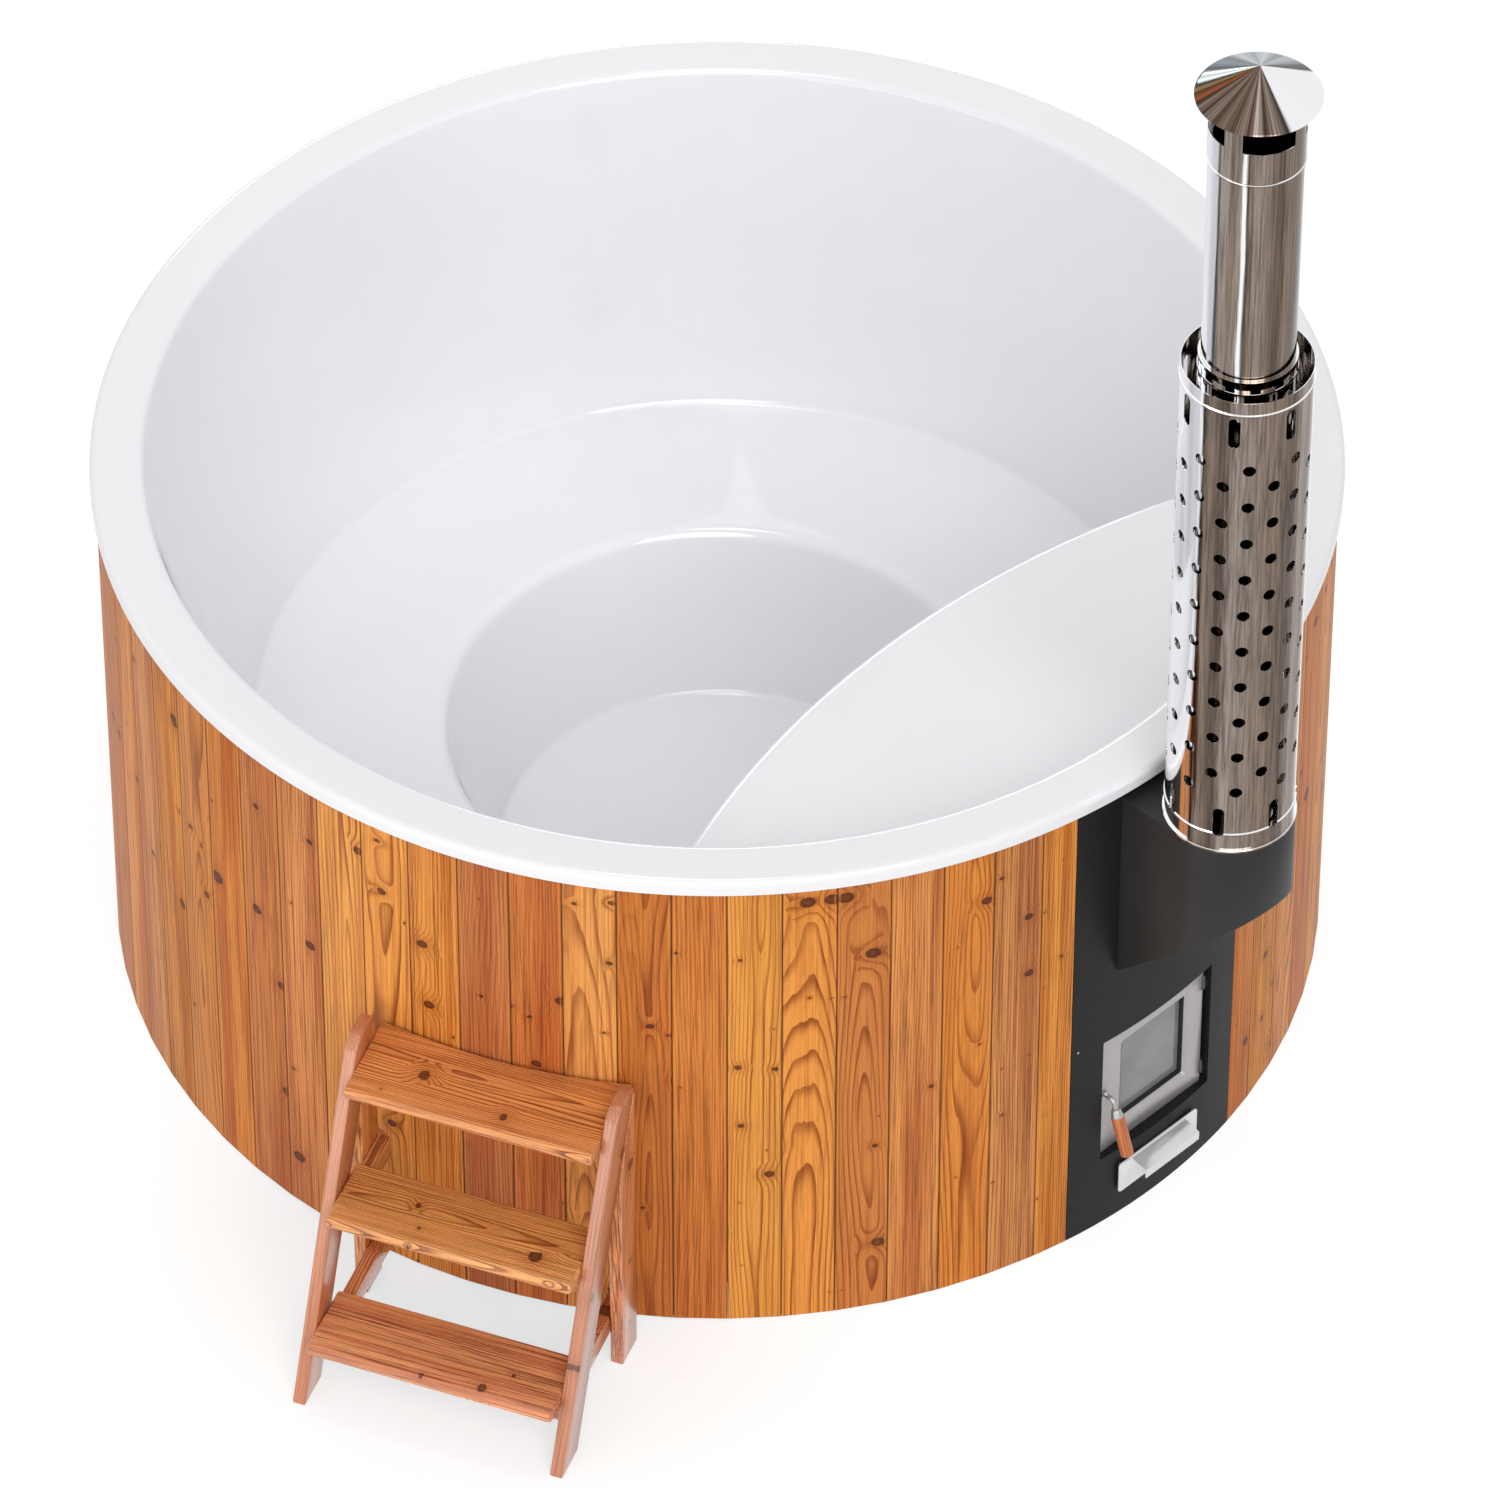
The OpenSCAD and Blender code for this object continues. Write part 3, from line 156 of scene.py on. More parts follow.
class Wiring:
    """Adds nodes to one tree. A value is a number, a colour or another node's output."""

    def __init__(self, tree):
        self.tree = tree

    def set(self, socket, value):
        if isinstance(value, bpy.types.NodeSocket):
            self.tree.links.new(value, socket)
        else:
            socket.default_value = value

    def add(self, kind, values=(), **settings):
        node = self.tree.nodes.new(kind)
        for key, value in settings.items():
            setattr(node, key, value)
        for key, value in dict(values).items():
            self.set(node.inputs[key], value)
        return node

    def calc(self, operation, *numbers):
        return self.add("ShaderNodeMath", enumerate(numbers), operation=operation).outputs[0]

    def total(self, first, *others):
        for other in others:
            first = self.calc("ADD", first, other)
        return first

    def product(self, first, *others):
        for other in others:
            first = self.calc("MULTIPLY", first, other)
        return first

    def length(self, x, y):
        return self.calc("SQRT", self.total(self.product(x, x), self.product(y, y)))

    def swing(self, value, reach):
        """A value from 0 to 1 as a swing of half the reach to either side."""
        return self.product(self.calc("SUBTRACT", value, 0.5), reach)

    def spread(self, value, low, high, to_low=0.0, to_high=1.0, smooth=True):
        """The value's run from low to high, as a run from to_low to to_high that stops at its ends."""
        return self.add("ShaderNodeMapRange", enumerate([value, low, high, to_low, to_high]),
                        interpolation_type="SMOOTHSTEP" if smooth else "LINEAR").outputs[0]

    def between(self, share, low, high):
        return self.spread(share, 0.0, 1.0, low, high, smooth=False)

    def noise(self, place, scale=1.0, detail=2.0, rough=0.5):
        return self.add("ShaderNodeTexNoise", {"Vector": place, "Scale": scale, "Detail": detail,
                                               "Roughness": rough}).outputs["Fac"]

    def stretch(self, place, scale=(1, 1, 1), move=(0, 0, 0)):
        return self.add("ShaderNodeMapping", {"Vector": place, "Location": move, "Scale": scale}).outputs[0]

    def shift(self, place, by, how="ADD"):
        return self.add("ShaderNodeVectorMath", enumerate([place, by]), operation=how).outputs[0]

    def split(self, place):
        return self.add("ShaderNodeSeparateXYZ", {0: place}).outputs

    def join(self, x=0.0, y=0.0, z=0.0):
        return self.add("ShaderNodeCombineXYZ", enumerate([x, y, z])).outputs[0]

    def mix(self, share, first, second, how="MIX"):
        return self.add("ShaderNodeMix", {0: share, 6: first, 7: second}, data_type="RGBA",
                        blend_type=how).outputs[2]

    def ramp(self, value, stops):
        node = self.add("ShaderNodeValToRGB", {0: value})
        elements = node.color_ramp.elements
        for number, (place, colour) in enumerate(stops):
            stop = elements[number] if number < 2 else elements.new(place)
            stop.position, stop.color = place, colour
        return node.outputs[0]


KINDS = {"colour": "NodeSocketColor", "value": "NodeSocketFloat", "place": "NodeSocketVector",
         "count": "NodeSocketInt", "shape": "NodeSocketGeometry", "finish": "NodeSocketMaterial"}
SURFACE = {"Colour": "colour", "Roughness": "value", "Height": "value"}


def new_tree(name, kind, takes, gives):
    """A node group with named inputs {name: (kind, default)} and outputs {name: kind}."""
    tree = bpy.data.node_groups.new(name, kind)
    for title, (sort, default) in takes.items():
        socket = tree.interface.new_socket(title, in_out="INPUT", socket_type=KINDS[sort])
        if default is not None:
            socket.default_value = default
    for title, sort in gives.items():
        tree.interface.new_socket(title, in_out="OUTPUT", socket_type=KINDS[sort])
    wires = Wiring(tree)
    return wires, wires.add("NodeGroupInput").outputs, wires.add("NodeGroupOutput").inputs


def board_dice(w, pick):
    """Nine numbers from 0 to 1 that belong to one board."""
    thrown = []
    for factor in (37.1, 91.7, 53.3):
        speck = w.add("ShaderNodeTexWhiteNoise", {"W": w.product(pick, factor)}, noise_dimensions="1D")
        thrown += w.split(speck.outputs["Color"])
    return thrown


def pith_distance(w, mm, own, slow, flat, side, sink, tilt):
    """Distance from the trunk's wavering middle, which runs under a flat-sawn board's face, or far
    to the side of a quarter-sawn one. Millimetres."""
    x, depth, z = w.split(mm)
    aside = w.product(w.spread(side, 0.49, 0.51, -1.0, 1.0), w.between(flat, 95.0, 9.0))
    below = w.between(sink, 14.0, 42.0)
    rise = w.product(w.between(tilt, -0.05, 0.05), flat)
    sway_x = w.swing(w.noise(slow, 1.0, 0.6), 50.0)
    sway_y = w.swing(w.noise(w.shift(slow, (31.0, 7.0, 3.0)), 1.0, 0.6), 64.0)
    jitter = w.swing(w.noise(w.stretch(own, (0.09, 0.09, 0.006)), 1.0, 1.0), 2.0)
    across = w.calc("SUBTRACT", w.total(x, sway_x), aside)
    under = w.total(depth, below, w.product(z, rise), sway_y)
    return w.total(w.length(across, under), jitter)


def board_knots(w, given, own):
    """Knots, one at most in each cell of the board's face: the distance out in knot sizes, the knot,
    the bent wood round it, and how far the rings go round it."""
    cell_w, cell_h = 46.0, 128.0
    own_x, _, own_z = w.split(own)
    grid = w.join(w.calc("DIVIDE", own_x, cell_w), w.total(w.calc("DIVIDE", own_z, cell_h), given["Pick"]))
    cell = w.add("ShaderNodeTexVoronoi", {"Vector": grid, "Scale": 1.0, "Randomness": 0.9},
                 voronoi_dimensions="2D").outputs
    off_x, off_z, _ = w.split(w.shift(grid, cell["Position"], "SUBTRACT"))
    fate, shape, _ = w.split(cell["Color"])
    size = w.total(w.product(w.calc("POWER", shape, 2.0), 12.0), 1.3)
    away = w.length(w.product(off_x, cell_w * 0.82), w.product(off_z, cell_h))
    away = w.total(away, w.swing(w.noise(own, 0.16, 2.0), 4.5))
    there = w.spread(w.calc("SUBTRACT", given["Knots"], fate), 0.0, 0.02)
    reach = w.calc("DIVIDE", away, size)
    knot = w.product(w.spread(reach, 1.05, 0.75), there)
    fade = w.product(w.calc("POWER", reach, 2.0), -0.16)
    halo = w.product(w.calc("EXPONENT", fade), there)
    return reach, knot, halo, w.product(halo, size, 1.25)


def late_wood(w, given, radius, slow, flat):
    """Rings: pale early wood that darkens to a sharp late-wood line."""
    width = w.product(given["Ring width"], w.between(flat, 0.95, 1.35))
    turn = w.calc("FRACT", w.calc("DIVIDE", radius, width))
    late = w.product(w.calc("POWER", w.spread(turn, 0.40, 0.94), 1.8), w.spread(turn, 1.0, 0.95))
    strength = w.product(w.spread(flat, 0.0, 1.0, 0.72, 1.0),
                         w.spread(w.noise(slow, 2.3, 1.0), 0.3, 0.7, 0.6, 1.0))
    return w.product(late, strength, given["Contrast"])


def ringed_colour(w, given, own, flat, dark, late, combed):
    """Early wood crossed by broad bands of heartwood, fine combed threads and the rings."""
    bands = w.spread(w.noise(w.stretch(own, (0.035, 0.035, 0.0011)), 1.0, 1.0), 0.42, 0.68)
    heart = w.total(w.product(bands, w.between(flat, 0.75, 0.34)), w.between(flat, 0.18, 0.0))
    heart = w.total(w.product(heart, w.spread(dark, 0.0, 1.0, 1.0, 0.5)), w.product(dark, 0.60))
    threads = w.product(w.spread(combed, 0.50, 0.38), w.spread(flat, 0.0, 1.0, 0.62, 0.30))
    colour = w.mix(heart, given["Early wood"], given["Heart wood"])
    colour = w.mix(w.product(threads, given["Contrast"]), colour, given["Late wood"])
    return w.mix(late, colour, given["Late wood"])


def knotted_colour(w, given, own, colour, reach, knot, halo):
    """The board's colour with its resin flecks and knots, each with a paler eye and reddish wood round it."""
    flecks = w.spread(w.noise(w.stretch(own, (0.55, 0.55, 0.045)), 1.0, 1.0), 0.70, 0.78)
    eye = w.mix(w.spread(reach, 0.15, 0.9), w.mix(0.45, given["Knot wood"], given["Late wood"]),
                given["Knot wood"])
    colour = w.mix(w.product(halo, 0.50), colour, w.mix(0.5, given["Late wood"], given["Heart wood"]))
    colour = w.mix(w.product(flecks, 0.18), colour, given["Knot wood"])
    return w.mix(w.product(knot, 0.88), colour, eye)


def make_board_grain():
    """Softwood cut from a trunk: growth rings round a tilted pith, knots, fibres and heartwood."""
    w, given, result = new_tree("board_grain", "ShaderNodeTree", {
        "Board": ("place", (0, 0, 0)), "Pick": ("value", 0.0), "Ring width": ("value", 5.5),
        "Knots": ("value", 0.6), "Early wood": ("colour", (1, 1, 1, 1)),
        "Late wood": ("colour", (0, 0, 0, 1)), "Heart wood": ("colour", (0.5, 0.2, 0.1, 1)),
        "Knot wood": ("colour", (0, 0, 0, 1)), "Contrast": ("value", 1.0), "Flat share": ("value", 0.42),
        "Dark share": ("value", 0.35)}, SURFACE)
    pick = given["Pick"]
    mm = w.stretch(given["Board"], (1000, 1000, 1000))
    own = w.shift(mm, w.join(w.product(pick, 7919.0), w.product(pick, 3571.0)))
    slow = w.stretch(own, (0.011, 0.011, 0.0016))
    sawn, side, sink, tilt, tone, hue, saturation, value, _ = board_dice(w, pick)
    flat = w.spread(w.calc("SUBTRACT", given["Flat share"], sawn), 0.0, 0.02)
    dark = w.spread(w.calc("SUBTRACT", given["Dark share"], tone), -0.04, 0.04)

    reach, knot, halo, push = board_knots(w, given, own)
    radius = w.total(pith_distance(w, mm, own, slow, flat, side, sink, tilt), push)
    late = late_wood(w, given, radius, slow, flat)
    fibre = w.noise(w.stretch(own, (0.9, 0.9, 0.018)), 1.0, 3.0, 0.65)
    combed = w.noise(w.stretch(own, (0.33, 0.33, 0.0035)), 1.0, 4.0, 0.75)
    colour = ringed_colour(w, given, own, flat, dark, late, combed)
    colour = knotted_colour(w, given, own, colour, reach, knot, halo)

    streak = w.spread(fibre, 0.25, 0.75, -0.13, 0.12, smooth=False)
    comb = w.product(w.spread(combed, 0.36, 0.64, -0.20, 0.18, smooth=False),
                     w.spread(flat, 0.0, 1.0, 1.0, 0.6))
    lightness = w.total(w.product(streak, given["Contrast"]), 1.0, w.product(comb, given["Contrast"]))
    shade = w.add("ShaderNodeHueSaturation", {
        "Hue": w.between(hue, 0.493, 0.506), "Saturation": w.between(saturation, 0.95, 1.06),
        "Value": w.product(w.between(value, 0.88, 1.10), lightness), "Color": colour})
    w.set(result["Colour"], shade.outputs[0])
    w.set(result["Roughness"], w.total(w.spread(fibre, 0.2, 0.8, 0.0, 0.10), w.product(late, -0.06)))
    w.set(result["Height"], w.total(w.product(late, 0.5), w.product(fibre, 0.5)))
    return w.tree


def make_drawn_steel():
    """Fine parallel scratches along Z of the place given, with cloudy wipe marks."""
    w, given, result = new_tree("drawn_steel", "ShaderNodeTree", {
        "Place": ("place", (0, 0, 0)), "Length": ("value", 0.02), "Bright": ("colour", (1, 1, 1, 1)),
        "Dull": ("colour", (0.5, 0.5, 0.5, 1))}, SURFACE)
    x, y, z = w.split(given["Place"])
    along = w.join(w.product(x, 1500.0), w.product(y, 1500.0), w.calc("DIVIDE", z, given["Length"]))
    scratch = w.noise(along, 1.0, 3.0, 0.7)
    cloud = w.noise(given["Place"], 14.0, 3.0)
    share = w.total(w.product(scratch, 0.6), w.product(cloud, 0.4))
    w.set(result["Colour"], w.mix(share, given["Dull"], given["Bright"]))
    w.set(result["Roughness"], w.total(w.spread(scratch, 0.2, 0.8, 0.0, 0.12),
                                       w.spread(cloud, 0.3, 0.7, 0.0, 0.06)))
    w.set(result["Height"], scratch)
    return w.tree


def make_fine_texture():
    """Small bumps and clouding of paint, castings, mouldings and rope, at a size in millimetres."""
    w, given, result = new_tree("fine_texture", "ShaderNodeTree", {
        "Place": ("place", (0, 0, 0)), "Grain size": ("value", 1.0), "Cloud size": ("value", 120.0),
    }, {"Grain": "value", "Cloud": "value"})
    for title, size, detail in (("Grain", "Grain size", 2.0), ("Cloud", "Cloud size", 4.0)):
        scale = w.calc("DIVIDE", 1000.0, given[size])
        w.set(result[title], w.noise(given["Place"], scale, detail, 0.6))
    return w.tree


def make_round_the_flue():
    """Angle round the flue, 0 to 1 from +X, and long wavering streaks that vary the polish's roughness and
    break up its painted reflections.
    """
    w, given, result = new_tree("round_the_flue", "ShaderNodeTree", {
        "Place": ("place", (0, 0, 0)), "Drift": ("value", 0.5), "Fineness": ("value", 6.0),
    }, {"Angle": "value", "Streaks": "value"})
    x, y, z = w.split(w.stretch(given["Place"], move=(-FLUE_AXIS[0], -FLUE_AXIS[1], 0.0)))
    wave = w.swing(w.noise(w.join(0.0, 0.0, z), 3.0, 2.0), given["Drift"])
    turn = w.calc("DIVIDE", w.calc("ARCTAN2", y, x), 2 * math.pi)
    far = w.calc("MAXIMUM", w.length(x, y), 0.0001)
    ring = w.join(w.calc("DIVIDE", x, far), w.calc("DIVIDE", y, far), w.product(z, given["Drift"]))
    w.set(result["Angle"], w.calc("FRACT", w.total(w.product(wave, 0.05), 1.0, turn)))
    w.set(result["Streaks"], w.noise(ring, given["Fineness"], 5.0, 0.7))
    return w.tree


BOARD_GRAIN = make_board_grain()
DRAWN_STEEL = make_drawn_steel()
FINE_TEXTURE = make_fine_texture()
ROUND_THE_FLUE = make_round_the_flue()


# ---- Finishes ----

def effect(w, tree, **values):
    """Places a shared effect; underscores in an input's name stand for spaces."""
    node = w.add("ShaderNodeGroup", node_tree=tree)
    for key, value in values.items():
        w.set(node.inputs[key.replace("_", " ")], value)
    return node.outputs


def finish(name, metallic=0.0, **settings):
    """A material with its wiring, its shader and the object's place."""
    material = bpy.data.materials.new(name)
    material.use_nodes = True
    w = Wiring(material.node_tree)
    shader = material.node_tree.nodes["Principled BSDF"]
    shader.inputs["Metallic"].default_value = metallic
    for key, value in settings.items():
        shader.inputs[key.replace("_", " ")].default_value = value
    place = w.add("ShaderNodeTexCoord").outputs["Object"]
    return material, w, shader, place


def wire_up(w, shader, colour, roughness, height=None, depth=0.0002, strength=0.5):
    """Joins colour, roughness and a bump of that depth, in metres, to the shader."""
    w.set(shader.inputs["Base Color"], colour)
    w.set(shader.inputs["Roughness"], roughness)
    if height is not None:
        bump = w.add("ShaderNodeBump", {"Strength": strength, "Distance": depth, "Height": height})
        w.set(shader.inputs["Normal"], bump.outputs[0])


def wood(name, early, late, heart, knot, ring_width=5.5, knots=0.6, sheen=0.42, seam=0.0, coat=0.0,
         gloss=0.25, **lots):
    """Oiled boards. seam is half a board's width: a painted highlight pales the board near its edge, and
    painted shade with dirt darkens it into the gap.
    """
    material, w, shader, _ = finish(name, Coat_Weight=coat, Coat_Roughness=0.3, Specular_IOR_Level=gloss)
    board = w.add("ShaderNodeAttribute", attribute_name="board").outputs["Vector"]
    pick = w.add("ShaderNodeAttribute", attribute_name="pick").outputs["Fac"]
    grain = effect(w, BOARD_GRAIN, Board=board, Pick=pick, Ring_width=ring_width, Knots=knots,
                   Early_wood=early, Late_wood=late, Heart_wood=heart, Knot_wood=knot, **lots)
    colour = grain["Colour"]
    if seam:
        aside = w.calc("ABSOLUTE", w.split(board)[0])
        # A pale line just in from each edge: painted highlight
        pale_edge_highlight = w.product(w.spread(aside, seam - 0.0055, seam - 0.0040),
                         w.spread(aside, seam - 0.0020, seam - 0.0030))
        colour = w.mix(w.product(pale_edge_highlight, 0.28), colour, early)
        # The board darkens into the gap: painted shade, with dirt
        colour = w.mix(w.spread(aside, seam - 0.0019, seam - 0.0004, 0.0, 0.75), colour, srgb(104, 62, 30))
    wire_up(w, shader, colour, w.total(grain["Roughness"], sheen), grain["Height"], 0.0003, 0.35)
    return material


def steel(name, bright, dull, roughness, metallic=1.0):
    """Brushed sheet, its scratches upright."""
    material, w, shader, place = finish(name, metallic)
    drawn = effect(w, DRAWN_STEEL, Place=place, Bright=bright, Dull=dull)
    wire_up(w, shader, drawn["Colour"], w.total(drawn["Roughness"], roughness), drawn["Height"], 0.00005, 0.3)
    return material


def textured(name, light, dark, roughness, grain=1.0, cloud=120.0, depth=0.0001, strength=0.4,
             metallic=0.0, patchy=0.08, **settings):
    """Paint, castings and mouldings: two close tones clouded together over a fine bump. Grain and
    cloud are sizes in millimetres, and patchy is how much rougher the light patches are."""
    material, w, shader, place = finish(name, metallic, **settings)
    texture = effect(w, FINE_TEXTURE, Place=place, Grain_size=grain, Cloud_size=cloud)
    colour = w.mix(w.spread(texture["Cloud"], 0.3, 0.7), dark, light)
    rough = w.total(w.spread(texture["Cloud"], 0.3, 0.7, 0.0, patchy), roughness)
    wire_up(w, shader, colour, rough, texture["Grain"], depth, strength)
    return material


def mirror(name, stops, fineness, drift, roughness, contrast, wobble, edges=True):
    """Polished sheet with painted reflections, colour bands round the flue broken up by its drawn streaks:
    stops are (degrees round the flue from +X, colour). Its rolled edges and beads get a painted highlight
    above and painted shade below."""
    material, w, shader, place = finish(name, 1.0)
    around = effect(w, ROUND_THE_FLUE, Place=place, Drift=drift, Fineness=fineness)
    # Painted reflections: colour bands fixed at angles round the flue, swayed and darkened in streaks
    angle = w.calc("FRACT", w.total(w.swing(around["Streaks"], wobble), around["Angle"], 1.0))
    colour = w.ramp(angle, [(degrees / 360, tone) for degrees, tone in stops])
    streak = w.spread(around["Streaks"], 0.32, 0.68, 1.0 - 0.8 * contrast, 1.0 + 0.5 * contrast)
    pale = w.add("ShaderNodeRGBToBW", {0: colour}).outputs[0]
    streaked = w.mix(1.0, colour, w.join(streak, streak, streak), "MULTIPLY")
    colour = w.mix(w.spread(pale, 0.75, 0.45), colour, streaked)
    if edges:
        # Painted highlight on edges and beads that face up, painted shade on those that face down
        facing = w.split(w.add("ShaderNodeTexCoord").outputs["Normal"])[2]
        colour = w.mix(w.spread(facing, 0.10, 0.45, 0.0, 0.92), colour, srgb(252, 252, 252))
        colour = w.mix(w.spread(facing, -0.10, -0.45, 0.0, 0.8), colour, srgb(30, 28, 27))
    wire_up(w, shader, colour, w.spread(around["Streaks"], 0.3, 0.7, roughness, roughness + 0.07))
    return material


# Painted reflections on polished sheet: tones and where they stand, as (degrees round the flue from +X, tone)
WHITE_REFLECTION = srgb(250, 250, 252)
GREY_REFLECTION = srgb(196, 194, 198)
TAUPE = srgb(150, 138, 130)
WARM_TAUPE = srgb(132, 116, 104)
DEEP_TAUPE = srgb(98, 86, 78)
DARK_REFLECTION = srgb(40, 34, 31)
PIPE_REFLECTIONS = [
    (0, TAUPE), (20, DEEP_TAUPE), (45, WHITE_REFLECTION), (78, WHITE_REFLECTION), (84, DARK_REFLECTION), (100, TAUPE),
    (118, GREY_REFLECTION), (126, WHITE_REFLECTION), (171, WHITE_REFLECTION), (174, DARK_REFLECTION), (178, TAUPE), (188, TAUPE),
    (194, WARM_TAUPE), (206, TAUPE), (208, WHITE_REFLECTION), (211, WHITE_REFLECTION), (213, DARK_REFLECTION),
    (217, WARM_TAUPE), (232, TAUPE), (240, WARM_TAUPE), (256, DEEP_TAUPE), (266, WARM_TAUPE),
    (284, DEEP_TAUPE), (300, WARM_TAUPE), (303, DARK_REFLECTION), (309, GREY_REFLECTION), (314, TAUPE), (330, TAUPE)]
SLEEVE_REFLECTIONS = [
    (0, TAUPE), (30, TAUPE), (52, WHITE_REFLECTION), (84, WHITE_REFLECTION), (92, DEEP_TAUPE), (118, TAUPE),
    (124, GREY_REFLECTION), (130, WHITE_REFLECTION), (182, WHITE_REFLECTION), (184, DARK_REFLECTION), (190, WARM_TAUPE),
    (206, DEEP_TAUPE), (214, TAUPE), (250, WARM_TAUPE), (268, DEEP_TAUPE), (282, TAUPE),
    (290, DEEP_TAUPE), (298, WARM_TAUPE), (306, WHITE_REFLECTION), (318, WHITE_REFLECTION), (322, DEEP_TAUPE),
    (334, WARM_TAUPE)]

# The cone's painted reflections, each as (degrees, red, green, blue): cool ones behind, warm ones at
# the left and a pale wedge at the front right
CONE_REFLECTION_TONES = [
    (0, 96, 112, 120), (14, 160, 172, 176), (26, 70, 86, 96), (38, 176, 186, 190), (50, 88, 104, 118),
    (62, 190, 196, 196), (74, 58, 70, 84), (88, 120, 136, 146), (98, 52, 64, 76), (106, 116, 122, 118),
    (112, 60, 58, 52), (118, 92, 102, 104), (125, 40, 44, 44), (131, 150, 120, 70), (136, 50, 44, 36),
    (142, 176, 96, 60), (148, 60, 42, 34), (155, 140, 122, 108), (163, 70, 50, 42), (170, 168, 152, 140),
    (178, 80, 60, 50), (188, 130, 112, 100), (198, 84, 66, 56), (207, 150, 132, 120), (214, 90, 60, 56),
    (221, 200, 186, 178), (228, 70, 52, 46), (238, 150, 134, 122), (250, 48, 42, 40),
    (254, 240, 240, 242), (345, 238, 238, 240), (348, 60, 66, 68)]
CONE_REFLECTIONS = [(degrees, srgb(*tone)) for degrees, *tone in CONE_REFLECTION_TONES]

# One finish for each material slot of the part
FINISHES = {
    "acrylic": textured(
        "acrylic", srgb(236, 236, 239), srgb(234, 234, 237), 0.025, grain=60.0, cloud=300.0, depth=0.00002,
        strength=0.05, patchy=0.015, Specular_IOR_Level=0.7),
    "cladding": wood(
        "cladding", srgb(228, 154, 80), srgb(136, 66, 28), srgb(188, 107, 50), srgb(52, 27, 20),
        seam=STAVE_W / 2, knots=0.40, gloss=0.12),
    "ladder_wood": wood(
        "ladder_wood", srgb(240, 168, 104), srgb(132, 64, 34), srgb(208, 128, 74), srgb(58, 30, 20),
        ring_width=2.8, sheen=0.22, coat=0.6, gloss=0.3, Contrast=1.35, Flat_share=0.45, Dark_share=0.15),
    "frame_timber": wood(
        "frame_timber", srgb(216, 184, 138), srgb(176, 130, 84), srgb(200, 160, 112), srgb(110, 66, 40),
        knots=0.4, sheen=0.6),
    "grip_wood": wood(
        "grip_wood", srgb(206, 122, 66), srgb(136, 68, 34), srgb(178, 96, 50), srgb(90, 44, 24),
        ring_width=2.6, knots=0.0, sheen=0.25, coat=0.3),
    "black_steel": textured(
        "black_steel", srgb(32, 31, 31), srgb(28, 27, 27), 0.42, grain=1.2, cloud=220.0, depth=0.00004,
        strength=0.2, Specular_IOR_Level=0.13),
    "brushed_steel": steel("brushed_steel", srgb(186, 183, 182), srgb(162, 159, 158), 0.24, metallic=0.6),
    # Polished pipe, with painted reflections round it
    "mirror_steel": mirror("mirror_steel", PIPE_REFLECTIONS, fineness=20.0, drift=0.3, roughness=0.05,
                           contrast=0.6, wobble=0.02),
    "cast_iron": textured(
        "cast_iron", srgb(62, 58, 55), srgb(34, 31, 30), 0.75, grain=1.6, cloud=60.0, depth=0.0004,
        strength=0.6, patchy=0.15),
    "jacket_steel": steel("jacket_steel", srgb(150, 146, 142), srgb(104, 100, 97), 0.42),
    "rope_seal": textured(
        "rope_seal", srgb(120, 116, 108), srgb(78, 74, 68), 0.85, grain=2.2, cloud=9.0, depth=0.0006,
        strength=0.9),
    "black_seal": textured("black_seal", srgb(34, 33, 33), srgb(22, 21, 21), 0.7, cloud=30.0),
    # The pane's pale grey is partly a painted reflection of the bright room, partly a faint haze on the glass
    "stove_glass": textured(
        "stove_glass", srgb(150, 149, 153), srgb(132, 131, 135), 0.04, grain=8.0, cloud=90.0,
        depth=0.00002, strength=0.1, patchy=0.03, Transmission_Weight=0.15, IOR=1.5),
    "drain_plastic": textured(
        "drain_plastic", srgb(196, 196, 196), srgb(182, 182, 184), 0.4, grain=1.5, cloud=90.0),
    "valve_brass": textured(
        "valve_brass", srgb(204, 170, 104), srgb(170, 132, 70), 0.32, grain=0.9, cloud=25.0, strength=0.5,
        metallic=1.0),
    "valve_red": textured(
        "valve_red", srgb(178, 34, 26), srgb(150, 24, 20), 0.3, grain=1.2, cloud=40.0),
}

# Finishes of single pieces that differ a little from their slot's
# The sleeve's own painted reflections, with painted highlight and shade on its beads
SLEEVE_STEEL = mirror("sleeve_steel", SLEEVE_REFLECTIONS, fineness=22.0, drift=0.35, roughness=0.05,
                      contrast=0.6, wobble=0.02)
# The cone's own painted reflections, without painted edge light
CONE_STEEL = mirror("cone_steel", CONE_REFLECTIONS, fineness=36.0, drift=0.0, roughness=0.04, contrast=0.8,
                    wobble=0.012, edges=False)
HINGE_STEEL = steel("hinge_steel", srgb(92, 90, 90), srgb(70, 68, 68), 0.3, metallic=0.6)
LIP_STEEL = textured(
    "lip_steel", srgb(228, 227, 229), srgb(218, 217, 219), 0.18, grain=4.0, cloud=60.0, depth=0.00001,
    strength=0.05, metallic=0.5, patchy=0.04)
HOUSING_STEEL = textured(
    "housing_steel", srgb(48, 46, 47), srgb(42, 40, 41), 0.40, grain=1.2, cloud=220.0, depth=0.00004,
    strength=0.2, Specular_IOR_Level=0.2)
STRINGER_WOOD = wood(
    "stringer_wood", srgb(202, 138, 102), srgb(142, 80, 52), srgb(184, 118, 84), srgb(84, 46, 32),
    ring_width=4.0, knots=0.3, sheen=0.22, coat=0.7, gloss=0.4, Contrast=0.6, Flat_share=0.2,
    Dark_share=0.0)

SLOT_OF = {part["node"]: part["material_slot"] for part in frame["record"]["subparts"]}
for name, node in frame["nodes"].items():
    node.data.materials.clear()
    node.data.materials.append(HINGE_STEEL if "hinge" in name else FINISHES[SLOT_OF[name]])


# ---- Making pieces ----

